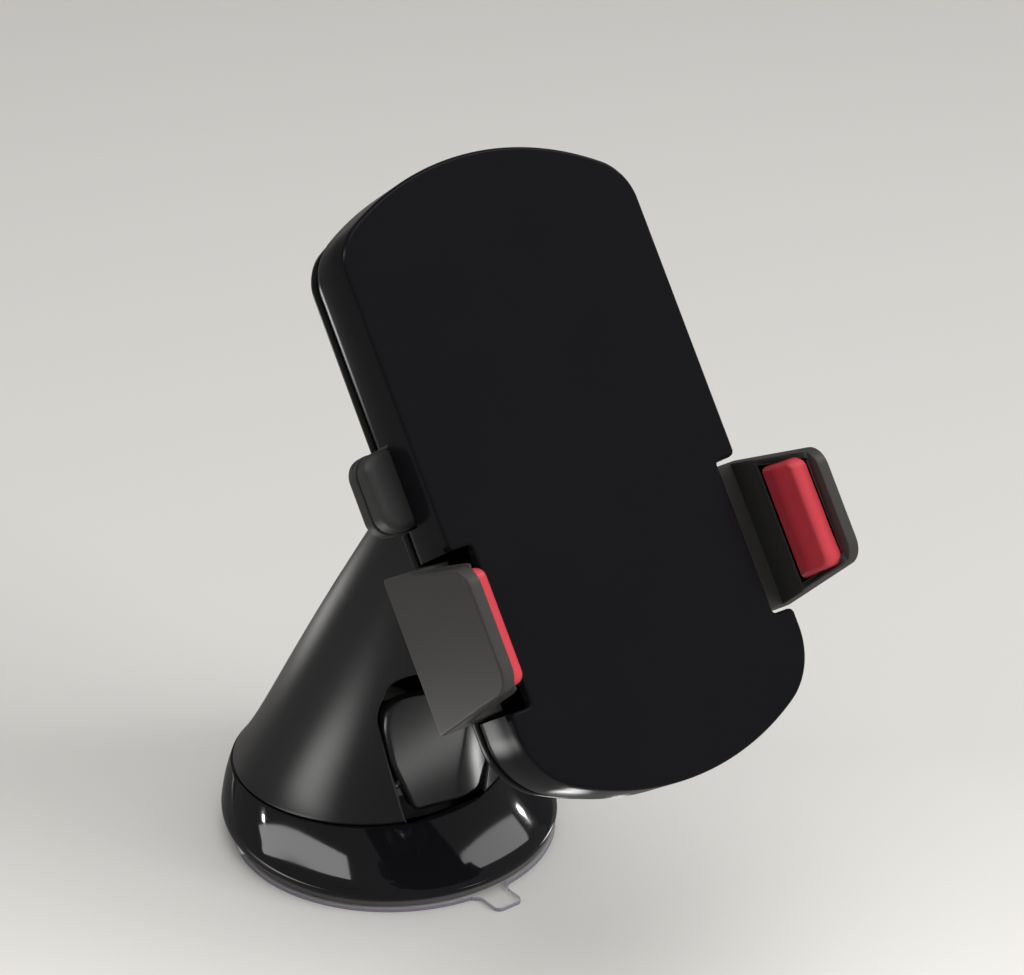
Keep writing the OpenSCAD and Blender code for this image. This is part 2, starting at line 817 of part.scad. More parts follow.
// Front cover: a deep shell, open at the back, with notches for the jaws and a slot for the button
module front_cover() {
    color(gloss_black)
        in_cradle()
            difference() {
                union() {
                    difference() {
                        skin([
                            cradle_ring(side_chamfer, front_back_z),
                            cradle_ring(side_chamfer * chamfer_ease_share,
                                        front_back_z + side_chamfer_h * chamfer_mid_share),
                            cradle_ring(0, front_back_z + side_chamfer_h),
                            cradle_ring(0, face_z - face_edge),
                            cradle_ring(face_edge * edge_ease_share, face_z - face_edge * edge_ease_share),
                            cradle_ring(face_edge, face_z)]);
                        skin([
                            cradle_ring(side_chamfer + shell_wall, front_back_z - over),
                            cradle_ring(side_chamfer + shell_wall, front_back_z + side_chamfer_h * chamfer_mid_share),
                            cradle_ring(shell_wall, front_back_z + side_chamfer_h),
                            cradle_ring(shell_wall, inner_top_z)]);
                    }
                    at_cover_screws()
                        translate([0, 0, floor_z + seam_gap])
                            cylinder(h = inner_top_z - floor_z, r = cover_boss_r);
                }
                jaw_notches(0, front_back_z - over, face_z + over);
                button_slot(slip_gap);
                at_cover_screws()
                    translate([0, 0, floor_z])
                        cylinder(h = cover_screw_l, r = cover_screw_r + fit_gap);
                translate([0, pinion_v, floor_z])
                    cylinder(h = inner_top_z - floor_z + shell_wall / 2, r = axle_r + fit_gap);
            }
}
module jaw_notches(inset, z0, z1) {
    both_sides()
        translate([notch_u + inset, jaw_v - notch_v + inset, z0])
            cube([cradle_w, notch_v * 2 - inset * 2, z1 - z0]);
}
module button_slot(gap) {
    on_left()
        translate([button_in_u - button_travel - gap, button_v - button_l / 2 - gap, button_mid_z - button_d])
            cube([cradle_w, button_l + gap * 2, button_d + button_d / 2 + gap]);
}

module rear_cover() {
    color(gloss_black)
        in_cradle()
            difference() {
                union() {
                    skin(concat(
                        [for (i = [len(crown_share) - 1 : -1 : 0])
                            cradle_ring(side_chamfer + crown_inset * crown_share[i],
                                        rear_strip_z - rear_crown_h * crown_h_share[i])],
                        [cradle_ring(side_chamfer, rear_edge_z)]));
                    skin([cradle_ring(lip_inset, rear_strip_z + seam_gap), cradle_ring(lip_inset, floor_z)]);
                    intersection() {
                        skin([cradle_ring(side_chamfer, rear_strip_z + seam_gap),
                              cradle_ring(side_chamfer, floor_z)]);
                        jaw_notches(slip_gap, rear_strip_z, floor_z);
                    }
                    translate([0, ball_v, ball_w + hub_end])
                        cylinder(h = rear_edge_z - ball_w - hub_end, r = hub_r);
                    on_left()
                        translate([rest_post_u - rib_t, coil2_v - coil2_r, floor_z - seam_gap])
                            cube([rib_t, coil2_r * 2, tongue_t + rib_t]);
                }
                difference() {
                    skin([cradle_ring(lip_inset + rib_t, pocket_z), cradle_ring(lip_inset + rib_t, floor_z + over)]);
                    rear_ribs();
                }
                translate([0, ball_v, ball_w])
                    sphere(r = socket_r, $fn = 96);
                button_slot(slip_gap);
                translate([0, pinion_v, pocket_z])
                    cylinder(h = front_t, r = axle_r + fit_gap);
                on_left()
                    translate([pawl_u, pawl_v, pocket_z])
                        cylinder(h = front_t, r = pawl_pin_r + fit_gap);
                at_cover_screws() {
                    translate([0, 0, rear_strip_z - rear_crown_h - over])
                        cylinder(h = front_t, r = cover_screw_r + fit_gap);
                    translate([0, 0, rear_strip_z - rear_crown_h - over])
                        cylinder(h = rear_crown_h + cover_head_h + over, r = cover_head_r + seam_gap);
                }
            }
}

// What stays standing between the rear cover's pockets: rails, ribs and bosses
module rear_ribs() {
    translate([0, 0, pocket_z - over]) {
        translate([-cradle_w, jaw_v - notch_v - rib_t, 0])
            cube([cradle_w * 2, rail_w, front_t]);
        translate([-cradle_w, jaw_v + notch_v + rib_t - rail_w, 0])
            cube([cradle_w * 2, rail_w, front_t]);
        for (v = rib_places)
            translate([-cradle_w, v, 0])
                cube([cradle_w * 2, rib_t, front_t]);
        both_sides() {
            translate([rib_u, -cradle_l, 0])
                cube([rib_t, cradle_l * 2, front_t]);
            translate([notch_u - rib_t, jaw_v - notch_v, 0])
                cube([cradle_w, notch_v * 2, front_t]);
        }
        translate([0, ball_v, 0])
            cylinder(h = front_t, r = hub_r);
        translate([0, pinion_v, 0])
            cylinder(h = front_t, r = tip_r);
        on_left() {
            translate([pawl_u, pawl_v, 0])
                cylinder(h = front_t, r = pawl_hub_r + rib_t);
            translate([rest_post_u - rib_t * 2, coil2_v - coil2_r * 2, 0])
                cube([cradle_w, coil2_r * 4, front_t]);
            translate([tongue_tip_u, button_v - button_l / 2 - rib_t, 0])
                cube([cradle_w, button_l + rib_t * 2, front_t]);
        }
        at_cover_screws()
            cylinder(h = front_t, r = cover_boss_r + rib_t);
    }
}

module cover_screws() {
    color(steel)
        in_cradle()
            at_cover_screws()
                difference() {
                    union() {
                        translate([0, 0, rear_strip_z])
                            cylinder(h = cover_head_h, r = cover_head_r);
                        translate([0, 0, rear_strip_z + seam_gap])
                            cylinder(h = cover_screw_l + cover_head_h, r = cover_screw_r);
                    }
                    translate([0, 0, rear_strip_z - over])
                        cylinder(h = cover_head_h / 2 + over, r = cover_screw_r, $fn = 6);
                }
}

// Jaw outline in the cradle's side view, drawn in by d
function jaw_outline(d) =
    let (b = jaw_l / 2 - d, f = jaw_l / 2 - jaw_taper - d)
    rounded_path(
        [[jaw_v - b, jaw_back_z + d], [jaw_v - f, jaw_front_z - d],
         [jaw_v + f, jaw_front_z - d], [jaw_v + b, jaw_back_z + d]],
        [jaw_back_r, jaw_corner_r - d, jaw_corner_r - d, jaw_back_r], 10);
module jaw_slab(x0, x1, z0, z1, d) {
    across(x0, x1)
        intersection() {
            polygon(jaw_outline(d));
            translate([jaw_v - jaw_l, z0])
                square([jaw_l * 2, z1 - z0]);
        }
}

// Wall, padded head with its two end flanges, root behind the cover's notch, and sliding tray
module jaw_body() {
    difference() {
        union() {
            jaw_slab(jaw_wall_u, jaw_u, jaw_back_z, jaw_front_z, 0);
            jaw_slab(jaw_head_u, jaw_wall_u, head_z, pad_front_z + jaw_rim / 2, 0);
            jaw_slab(jaw_root_u, jaw_wall_u, jaw_back_z, head_z, 0);
        }
        jaw_slab(jaw_head_u - over, jaw_wall_u, pad_back_z, jaw_front_z, jaw_rim);
    }
    jaw_slab(tray_u, jaw_root_u, jaw_back_z, jaw_back_z + tray_t, 0);
}

// Straight rack: pitch line on the X axis, teeth towards -Y, bar behind them
module rack() {
    tooth_root = tooth_half + rack_ded * tan(pressure);
    tooth_tip = tooth_half - rack_add * tan(pressure);
    linear_extrude(height = rack_t)
        polygon(concat(
            [[tray_u + over, rack_back], [-rack_tip_u, rack_back], [-rack_tip_u, rack_ded]],
            [for (k = [-rack_teeth : rack_teeth - 1])
                for (q = [[-tooth_root, rack_ded], [-tooth_tip, -rack_add],
                          [tooth_tip, -rack_add], [tooth_root, rack_ded]])
                    [(k + 1 / 2) * rack_pitch + q[0], q[1]]],
            [[tray_u + over, rack_ded]]));
}
module guide_bar(v) {
    translate([guide_u, v, jaw_back_z])
        cube([tray_u - guide_u + over, guide_w, tray_t]);
}

module left_jaw() {
    color(matte_grey)
        in_cradle()
            on_left()
                difference() {
                    union() {
                        jaw_body();
                        translate([0, pinion_v + pitch_r, jaw_back_z])
                            rack();
                        guide_bar(jaw_v - jaw_l / 2 + guide_inset);
                    }
                    for (i = [0 : ratchet_teeth])
                        translate([pawl_u + pawl_tooth_u - jaw_out + ratchet_pitch * i,
                                   pinion_v + pitch_r + rack_back, jaw_back_z - over])
                            linear_extrude(height = rack_t + over * 2)
                                polygon([[0, fit_gap], [0, -ratchet_h], [ratchet_pitch, fit_gap]]);
                }
}

module right_jaw() {
    color(matte_grey)
        in_cradle() {
            jaw_body();
            translate([0, pinion_v - pitch_r, jaw_back_z])
                mirror([0, 1, 0])
                    rack();
            guide_bar(jaw_v + jaw_l / 2 - guide_inset - guide_w);
        }
}

// Rubber pad: a flat contact face that rises to a ridge near the front edge
module jaw_pad() {
    pad_h = pad_front_z - pad_back_z;
    intersection() {
        translate([jaw_wall_u, jaw_v + jaw_l / 2, pad_back_z + fit_gap])
            rotate([90, 0, 0])
                linear_extrude(height = jaw_l)
                    polygon(concat(
                        [[0, 0]],
                        [for (i = [0 : len(pad_w_share) - 1])
                            [-pad_ridge_h * pad_w_share[i], pad_h * pad_z_share[i]]],
                        [[0, pad_h]]));
        jaw_slab(jaw_wall_u - pad_ridge_h * 2, jaw_wall_u, jaw_back_z, jaw_front_z, jaw_rim + pad_gap);
    }
}
module left_pad() {
    color(coral)
        in_cradle()
            on_left()
                jaw_pad();
}
module right_pad() {
    color(coral)
        in_cradle()
            jaw_pad();
}

// Involute pinion that both racks mesh with
function involute(a) = tan(a) * 180 / PI - a;
function tooth_angle(r) = tooth_half / pitch_r * 180 / PI + involute(pressure) - involute(acos(base_r / r));
function tooth_flank(s) =
    [for (i = [0 : flank_steps]) let (r = base_r + (tip_r - base_r) * i / flank_steps) [r, s * tooth_angle(r)]];
function reversed(a) = [for (i = [len(a) - 1 : -1 : 0]) a[i]];
module pinion() {
    one = concat([[root_r, -tooth_angle(base_r)]], tooth_flank(-1), reversed(tooth_flank(1)),
                 [[root_r, tooth_angle(base_r)]]);
    color(nylon)
        in_cradle()
            translate([0, pinion_v, pinion_z])
                linear_extrude(height = pinion_t)
                    difference() {
                        polygon([for (k = [0 : pinion_teeth - 1]) for (q = one)
                            q[0] * [cos(q[1] + 360 * k / pinion_teeth), sin(q[1] + 360 * k / pinion_teeth)]]);
                        circle(r = axle_r + fit_gap);
                    }
}

module pinion_axle() {
    color(steel)
        in_cradle()
            translate([0, pinion_v, pocket_z + fit_gap])
                cylinder(h = inner_top_z + shell_wall / 2 - slip_gap - pocket_z, r = axle_r);
}

// Torsion spring that opens the jaws, as a plain sleeve on the axle
module opening_spring() {
    color(steel)
        in_cradle()
            translate([0, pinion_v, pinion_z + pinion_t + slip_gap])
                difference() {
                    cylinder(h = inner_top_z - pinion_z - pinion_t - slip_gap * 2, r = coil_r);
                    translate([0, 0, -over])
                        cylinder(h = front_t, r = coil_r - coil_wall);
                }
}

// Button block: rounded in all three views, with a stepped-in foot
module button_block(inset, z0, z1) {
    reach = button_u - inset;
    wide = button_l / 2 - inset;
    intersection() {
        across(button_in_u, reach)
            translate([button_v, 0])
                polygon(rounded_path([[-wide, z0], [wide, z0], [wide, z1], [-wide, z1]],
                                     [fit_gap, fit_gap, button_corner_r, button_corner_r]));
        translate([0, button_v, z0])
            linear_extrude(height = z1 - z0)
                polygon(rounded_path([[button_in_u, -wide], [reach, -wide], [reach, wide], [button_in_u, wide]],
                                     [0, button_front_r, button_front_r, 0]));
        translate([0, button_v + wide, 0])
            rotate([90, 0, 0])
                linear_extrude(height = wide * 2)
                    polygon(rounded_path([[button_in_u, z0], [reach, z0], [reach, z1], [button_in_u, z1]],
                                         [0, button_groove, button_front_r, 0]));
    }
}
module release_button() {
    back_z = button_mid_z - button_d / 2;
    front_z = button_mid_z + button_d / 2;
    color(matte_grey)
        in_cradle()
            on_left() {
                button_block(0, back_z + button_groove_z, front_z);
                button_block(button_groove, back_z, front_z - button_front_r);
                translate([button_in_u - button_lip_t, button_v - button_l / 2 - button_lip, tongue_z])
                    cube([button_lip_t, button_l + button_lip * 2, button_lip_front]);
                translate([tongue_tip_u, button_v - tongue_r, tongue_z])
                    cube([button_in_u - tongue_tip_u + over, tongue_r * 2, tongue_t]);
                translate([tongue_tip_u, button_v, tongue_z])
                    cylinder(h = tongue_t, r = tongue_r);
            }
}

// Coil spring behind the button, as a plain sleeve
module button_spring() {
    color(steel)
        in_cradle()
            on_left()
                translate([button_in_u - button_lip_t - coil2_l - fit_gap, coil2_v, tongue_z + coil2_r])
                    rotate([0, 90, 0])
                        difference() {
                            cylinder(h = coil2_l, r = coil2_r);
                            translate([0, 0, -over])
                                cylinder(h = coil2_l + over * 2, r = coil2_r / 2);
                        }
}

// Pawl: upper arm against the button's tongue, lower arm ending in a tooth over the ratchet
module latch_pawl() {
    arm = button_v - pawl_v + pawl_arm_r;
    tip = pinion_v + pitch_r + rack_back + ratchet_gap - pawl_v;
    color(steel)
        in_cradle()
            on_left()
                translate([pawl_u, pawl_v, tongue_z])
                    difference() {
                        union() {
                            cylinder(h = pawl_t, r = pawl_hub_r);
                            translate([-pawl_arm_r, 0, 0])
                                cube([pawl_arm_r * 2, arm, pawl_t]);
                            translate([0, arm, 0])
                                cylinder(h = pawl_t, r = pawl_arm_r);
                            linear_extrude(height = pawl_t)
                                polygon([[-pawl_hub_r, 0], [pawl_hub_r, 0], [pawl_tooth_u + pawl_arm_r, tip / 2],
                                         [pawl_tooth_u + pawl_arm_r, tip + ratchet_pitch],
                                         [pawl_tooth_u, tip], [pawl_tooth_u - pawl_arm_r, tip + ratchet_pitch]]);
                        }
                        translate([0, 0, -over])
                            cylinder(h = pawl_t + over * 2, r = pawl_pin_r + fit_gap);
                    }
}
module pawl_pin() {
    color(steel)
        in_cradle()
            on_left()
                translate([pawl_u, pawl_v, pocket_z + fit_gap])
                    cylinder(h = tongue_z + pawl_t + slip_gap - pocket_z, r = pawl_pin_r);
}

gel_pad();
suction_cup();
base_ring();
mounting_plate();
base_screws();
tower_shell();
lever();
lever_pin();
cup_stem();
pull_yoke();
stem_nut();
ball_stud();
collar_nut();
rear_cover();
front_cover();
cover_screws();
pinion();
pinion_axle();
opening_spring();
left_jaw();
right_jaw();
left_pad();
right_pad();
release_button();
button_spring();
latch_pawl();
pawl_pin();
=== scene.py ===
import math
from functools import partialmethod

import bmesh
import bpy
import numpy as np
from mathutils import Matrix, Vector


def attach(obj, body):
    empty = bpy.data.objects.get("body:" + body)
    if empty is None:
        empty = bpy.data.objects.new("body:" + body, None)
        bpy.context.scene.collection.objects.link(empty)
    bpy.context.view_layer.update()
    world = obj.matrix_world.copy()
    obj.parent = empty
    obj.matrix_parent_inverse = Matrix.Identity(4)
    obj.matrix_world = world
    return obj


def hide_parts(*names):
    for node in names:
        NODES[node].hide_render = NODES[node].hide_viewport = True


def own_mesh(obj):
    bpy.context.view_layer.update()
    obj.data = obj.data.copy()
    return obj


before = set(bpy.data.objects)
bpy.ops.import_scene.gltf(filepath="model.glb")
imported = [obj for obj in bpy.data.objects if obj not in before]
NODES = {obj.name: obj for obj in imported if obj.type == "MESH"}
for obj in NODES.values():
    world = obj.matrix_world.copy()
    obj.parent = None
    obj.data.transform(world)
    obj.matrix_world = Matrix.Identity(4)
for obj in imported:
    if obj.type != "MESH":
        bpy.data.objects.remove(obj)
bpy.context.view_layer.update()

bl_info = {
    "name": "Suction Cup Phone Holder",
    "version": (1, 0, 0),
    "blender": (4, 5, 0),
    "location": "View3D > Sidebar > Phone Holder",
    "description": "Builds the skins, finishes and studio for a suction cup phone holder",
    "category": "Add Mesh",
}

MM = 0.001

# Limits for merging points, in millimetres for outlines and in metres for meshes
SAME_POINT, WELD, NO_EDGE = 1e-6, 2e-6, 1e-7
# Half the angle, in radians, past which a corner counts as straight
ALMOST_STRAIGHT = 1.57
# Angle in degrees past which an edge stays sharp
SHARP = 32
# Radius at which a turned profile meets its axis
AXIS_R = 0.01
MIRROR_2D, MIRROR_3D = np.array([-1, 1]), np.array([-1, 1, 1])

# The tower's side as shares of its foot's radius: straight part, bow, flare, and the flare's height
SIDE, BOW, FLARE, FLARE_RISE = 1.087, 0.183, 0.096, 0.09
# The nose's height above its middle, how fast it narrows, and the flat seat's distance from the ball
DOME_RISE, DOME_TAPER, SEAT_DROP = 13, 0.283, 12.5
# Places along the cradle: its top, the jaws' middle and the release button's slot
CRADLE_TOP, JAW_MIDDLE, SLOT_HIGH, SLOT_LOW = 61.0, -22.05, 15.15, -0.65
# A jaw's wall, how far a jaw reaches behind the cradle's face, and the radius of the ball's socket
JAW_WALL, JAW_BACK, SOCKET_R = 2.5, 12, 9.08

# The direction in which the camera looks over the floor, in degrees from the Y axis and as a vector
VIEW_TURN, VIEW_X, VIEW_Y = 37.15, 0.604, 0.797
# Glowing patches painted on the floor and seen only in mirror images: place and radius in metres, and
# level. They are painted light: the tower, the lever and the cradle's rear edge have their highlights from
# them
GLOW_PATCHES = (((-0.080, 0.001), 0.038, 0.25), ((-0.035, 0.24), 0.09, 0.13),
         ((0.002, -0.054), 0.009, 0.22), ((0.034, -0.029), 0.007, 0.5))
# Colour of the air as soft light and in mirror images
AIR, AIR_MIRRORED = (0.52, 0.513, 0.50, 1), (0.18, 0.178, 0.174, 1)


# Outlines and curves, in millimetres

def smooth_through(xs, ys, x):
    """Cubic Hermite curve through stations, with slopes from the neighbouring stations."""
    xs, ys, x = np.asarray(xs, float), np.asarray(ys, float), np.asarray(x, float)
    m = np.gradient(ys, xs)
    i = np.clip(np.searchsorted(xs, x) - 1, 0, len(xs) - 2)
    h = xs[i + 1] - xs[i]
    t = (x - xs[i]) / h
    return ((2 * t**3 - 3 * t**2 + 1) * ys[i] + (t**3 - 2 * t**2 + t) * h * m[i]
            + (3 * t**2 - 2 * t**3) * ys[i + 1] + (t**3 - t**2) * h * m[i + 1])


def arc(centre, radius, start, end, n):
    """Points on a circle between two angles in degrees."""
    a = np.radians(np.linspace(start, end, n))
    return np.stack([centre[0] + radius * np.cos(a), centre[1] + radius * np.sin(a)], -1)


def rounded_path(corners, radii, n=10):
    """Closed outline whose corners are replaced by arcs that touch both sides. A corner with no radius, or
    one that is almost straight, stays a point. Where the outline folds straight back, a radius gives no
    finite arc."""
    c = np.asarray(corners, float)
    out = []
    for i, r in enumerate(radii):
        p, a, b = c[i], c[i - 1], c[(i + 1) % len(c)]
        if r <= 0:
            out.append(p[None])
            continue
        u, v = (a - p) / np.linalg.norm(a - p), (b - p) / np.linalg.norm(b - p)
        half = math.acos(np.clip(u @ v, -1, 1)) / 2
        if half > ALMOST_STRAIGHT:
            out.append(p[None])
            continue
        mid = p + (u + v) / np.linalg.norm(u + v) * r / math.sin(half)
        s, e = p + u * r / math.tan(half) - mid, p + v * r / math.tan(half) - mid
        a0, a1 = math.atan2(s[1], s[0]), math.atan2(e[1], e[0])
        a1 = a0 + (a1 - a0 + math.pi) % (2 * math.pi) - math.pi
        out.append(arc(mid, r, math.degrees(a0), math.degrees(a1), n))
    return np.concatenate(out)


def walked(p):
    """Length walked along a path up to each of its points."""
    return np.concatenate([[0], np.cumsum(np.linalg.norm(np.diff(p, axis=0), axis=1))])


def sampled(p, s, t):
    """Points of a path at the lengths t, where its own points lie at the lengths s."""
    return np.stack([np.interp(t, s, p[:, k]) for k in range(p.shape[1])], -1)


def spread(path, n):
    """The same closed outline with n points evenly spaced by length."""
    p = np.concatenate([path, path[:1]])
    keep = np.concatenate([[True], np.linalg.norm(np.diff(p, axis=0), axis=1) > SAME_POINT])
    p = p[keep]
    s = walked(p)
    return sampled(p, s, np.linspace(0, s[-1], n + 1))[:-1]


def normals_of(path, closed=True):
    """Unit normals to the right of the walk along a flat path."""
    if closed:
        t = np.roll(path, -1, 0) - np.roll(path, 1, 0)
    else:
        t = np.gradient(path, axis=0)
    t = t / np.maximum(np.linalg.norm(t, axis=1, keepdims=True), 1e-9)
    return np.stack([t[:, 1], -t[:, 0]], -1)


def raised(path, n, steps):
    """Rows of a path, each drawn in along its normals by a step's inset and set at its height."""
    return np.stack([np.column_stack([path - n * i, np.full(len(path), z)]) for i, z in steps])


def fillet(r, n=6):
    """Quarter round from a side wall to a flat face: inset and rise at each step."""
    w = np.linspace(0, math.pi / 2, n)
    return np.stack([r * (1 - np.cos(w)), r * np.sin(w)], -1)


class Skin:
    """Collects grids of points in millimetres and makes them one mesh."""

    def __init__(self):
        self.points, self.faces, self.count = [], [], 0

    def grid(self, p, wrap=False):
        """Quads between the neighbours of a rows by columns grid of points."""
        r, n = p.shape[:2]
        k = np.arange(r * n).reshape(r, n) + self.count
        if wrap:
            k = np.concatenate([k, k[:, :1]], 1)
        q = np.stack([k[:-1, :-1], k[:-1, 1:], k[1:, 1:], k[1:, :-1]], -1).reshape(-1, 4)
        self.points.append(p.reshape(-1, 3))
        self.faces.extend(q.tolist())
        self.count += r * n
        return self

    def face(self, loop):
        """One flat face on a loop of points."""
        self.points.append(np.asarray(loop, float))
        self.faces.append(list(range(self.count, self.count + len(loop))))
        self.count += len(loop)
        return self

    def tube(self, rows):
        """Closed rings joined into a wall, with a flat face on each end."""
        return self.grid(rows, wrap=True).face(rows[0]).face(rows[-1])

    def build(self, name, place=None):
        """Welds the grids, points the faces outwards and shades all but the sharp edges smooth."""
        p = np.concatenate(self.points)
        if place is not None:
            p = place(p)
        mesh = bpy.data.meshes.new(name)
        mesh.from_pydata((p * MM).tolist(), [], self.faces)
        bm = bmesh.new()
        bm.from_mesh(mesh)
        bmesh.ops.remove_doubles(bm, verts=bm.verts, dist=WELD)
        bmesh.ops.dissolve_degenerate(bm, edges=bm.edges, dist=NO_EDGE)
        bmesh.ops.recalc_face_normals(bm, faces=bm.faces)
        bm.to_mesh(mesh)
        bm.free()
        mesh.shade_smooth()
        mesh.set_sharp_from_angle(angle=math.radians(SHARP))
        for face in mesh.polygons:
            face.use_smooth = face.loop_total <= 4
        piece = bpy.data.objects.new(name, mesh)
        bpy.context.scene.collection.objects.link(piece)
        return piece


def slab_rows(path, low, high, soft_low, soft_high, hold=0.35):
    """Side wall of a plate: the outline drawn in round both edges, and a thin flat ring inside each. The
    sign of the outline's area says which side is in."""
    x, y = path[:, 0], path[:, 1]
    n = normals_of(path) * np.sign(np.sum(x * np.roll(y, -1) - np.roll(x, -1) * y))
    foot, head = [(0, low)], [(0, high)]
    if soft_low > 0:
        foot = [(soft_low + hold, low)] + [(i, low + soft_low - h) for i, h in fillet(soft_low)[::-1]]
    if soft_high > 0:
        head = [(i, high - soft_high + h) for i, h in fillet(soft_high)] + [(soft_high + hold, high)]
    return raised(path, n, foot + head)


def lathe(profile, turns=192, swell=None):
    """Closed profile of (radius, height) carried round the Z axis; swell may change the radius."""
    a = np.linspace(0, 2 * math.pi, turns, endpoint=False)
    r, z = profile[:, 0][:, None], profile[:, 1][:, None]
    r = r * np.ones_like(a) if swell is None else swell(r, z, a)
    return np.stack([r * np.cos(a), r * np.sin(a), z * np.ones_like(a)], -1)


def side_on(rows):
    """Rows of a plate, (along, out, across), as places of the cradle, (across, along, out)."""
    return rows[..., [2, 0, 1]]


# Places

def cradle_place(size):
    """Returns the turn from cradle places (across, along, out) to the table's frame."""
    return tilted(size, 90 - size.cradle_lean, size.ball_along, size.ball_behind)


def ball_centre(size):
    """The ball's place (back, up): out from the nose's middle along the stud, which leans forward."""
    a = math.radians(size.stud_lean)
    return -size.nose_lean - size.ball_out * math.sin(a), size.nose_z + size.ball_out * math.cos(a)


def tilted(size, angle, along=0.0, behind=0.0):
    """Returns the turn about X by an angle in degrees that puts (along, -behind) at the ball's centre."""
    c, s = math.cos(math.radians(angle)), math.sin(math.radians(angle))
    by, bz = ball_centre(size)

    def place(p):
        v, w = p[:, 1] - along, p[:, 2] + behind
        return np.stack([p[:, 0], by + v * c - w * s, bz + v * s + w * c], -1)
    return place


def tower_radius(size, z):
    """Radius of the tower at a height. Up to the nose it lies between the nose's radius and the foot's by a
    straight share, less a bow that grows with the square of the way down, plus a flare that dies away
    above the foot. The nose narrows as it rises, times the root of one less the cube of its rise."""
    t = (z - size.foot_z) / (size.nose_z - size.foot_z)
    share = SIDE * (1 - t) - BOW * (1 - t)**2 + FLARE * np.exp(-t / FLARE_RISE)
    body = size.nose_r + (size.foot_r - size.nose_r) * share
    s = np.clip((z - size.nose_z) / DOME_RISE, 0, 1)
    dome = (size.nose_r - DOME_TAPER * DOME_RISE * s) * np.sqrt(1 - s**3)
    return np.where(z > size.nose_z, dome, body)


def tower_centre(size, z):
    """The tower's centre line leans forward by the same amount for each step up."""
    lean = (size.foot_back + size.nose_lean) / (size.nose_z - size.foot_z)
    return size.foot_back - lean * (z - size.foot_z)


def on_tower(size, turn, z, inset=0.0):
    """Point on the tower at an angle from its front line and a height, drawn in by inset."""
    r = np.maximum(tower_radius(size, z) - inset, 0)
    return np.stack([r * np.sin(turn), tower_centre(size, z) - r * np.cos(turn), z + 0 * turn], -1)


def turn_at(size, x, z, inset=0.0):
    """Angle from the tower's front line: the arcsine of the distance across over the radius."""
    r = tower_radius(size, z) - inset
    return np.arcsin(np.clip(x / r, -1, 1))


def on_front(size, p, inset=0.0):
    """Places of a flat outline (across, height) carried back onto the tower's front, drawn in by inset."""
    return on_tower(size, turn_at(size, p[:, 0], p[:, 1], inset), p[:, 1], inset)


def half_shape(width, low, height, widths, heights, rounds):
    """Outline symmetric about the front line, from shares of its width and height."""
    right = [(width * w, low + height * h) for w, h in zip(widths, heights)]
    left = [(-x, z) for x, z in right[::-1]]
    radii = [width * r for r in rounds]
    return rounded_path(right + left, radii + radii[::-1], 24)


def recess_edge(size):
    """Open path round the lever's recess, from its right foot over the top to its left foot. Its points
    lie closer near both feet, where the tower's rim ends."""
    below = 1
    p = half_shape(size.recess_w, size.foot_z - below, size.recess_h + below,
                   (0.6, 0.86, 1, 0.85), (0, 0.45, 0.73, 1), (0, 1.2, 0.7, 0.34))
    x0 = np.interp(size.foot_z, [p[0, 1], p[1, 1]], [p[0, 0], p[1, 0]])
    p = np.concatenate([[[x0, size.foot_z]], p[1:-1], [[-x0, size.foot_z]]])
    s = walked(p)
    close, even = np.array([0, 0.12, 0.25, 0.4, 0.6, 0.9, 1.3, 1.8]), 2.4
    return sampled(p, s, np.concatenate([close, np.linspace(even, s[-1] - even, 190), s[-1] - close[::-1]]))


# Pieces of the base

def tower_skin(size):
    """The outer wall is a patch between the recess's edge and a loop round the back, then rings up to
    the nose; an inner wall, the recess's rim and the foot's edge close it."""
    skin = Skin()
    edge = recess_edge(size)
    n = normals_of(edge, closed=False)
    soft, wall, top = 0.45, 2.2, 62.0
    groove, groove_h, crowd = 0.4, 0.5, 1.3
    count = len(edge)
    side = int(count * 0.4)
    seam_z = size.foot_z + (edge[:, 1] - size.foot_z) * (top - size.foot_z) / (edge[side, 1] - size.foot_z)
    goal_z = np.minimum(seam_z, top)
    goal_turn = np.interp(np.arange(count), [side, count - 1 - side], [math.pi, -math.pi])

    def patch(path, inset, rows, dip):
        """Rows from the recess's edge to the loop at the back, crowded near the edge; the foot dips in."""
        s = (np.linspace(0, 1, rows)**crowd)[:, None]
        turn = turn_at(size, path[:, 0], path[:, 1], inset) * (1 - s) + goal_turn * s
        z = path[:, 1] * (1 - s) + goal_z * s
        lip = dip * np.clip(1 - (z - size.foot_z) / groove_h, 0, 1)**2
        return on_tower(size, turn, z, inset + lip)

    wide = edge + n * soft
    wide[[0, -1], 1] = size.foot_z
    outer, inner = patch(wide, 0.0, 72, groove), patch(edge, wall, 24, 0.0)
    skin.grid(outer).grid(inner)
    rim = [outer[0]]
    for k in np.linspace(0, math.pi / 2, 6)[1:]:
        p = edge + n * soft * (1 - math.sin(k))
        p[[0, -1], 1] = size.foot_z
        rim.append(on_tower(size, turn_at(size, p[:, 0], p[:, 1]), p[:, 1], soft * (1 - math.cos(k))))
    rim = np.stack(rim)
    back = np.stack([rim[-1] * (1 - f) + inner[0] * f for f in np.linspace(0, 1, 5)])
    skin.grid(rim).grid(back)
    for end in (0, -1):
        skin.face(np.concatenate([rim[:, end], back[1:, end]]))
        low = sampled(inner[:, end], np.linspace(0, 1, len(inner)), np.linspace(0, 1, len(outer)))
        skin.grid(np.stack([outer[:, end], low]))
    turns = goal_turn[side:count - side]
    dome = size.nose_z + DOME_RISE * np.sin(np.linspace(0.08, math.pi / 2, 26))
    rise = np.concatenate([np.linspace(top, size.nose_z, 14), dome])
    skin.grid(seat_cut(size, on_tower(size, *np.meshgrid(turns, rise))))
    skin.face(on_tower(size, turns[:-1], np.full(len(turns) - 1, top), wall))
    return skin


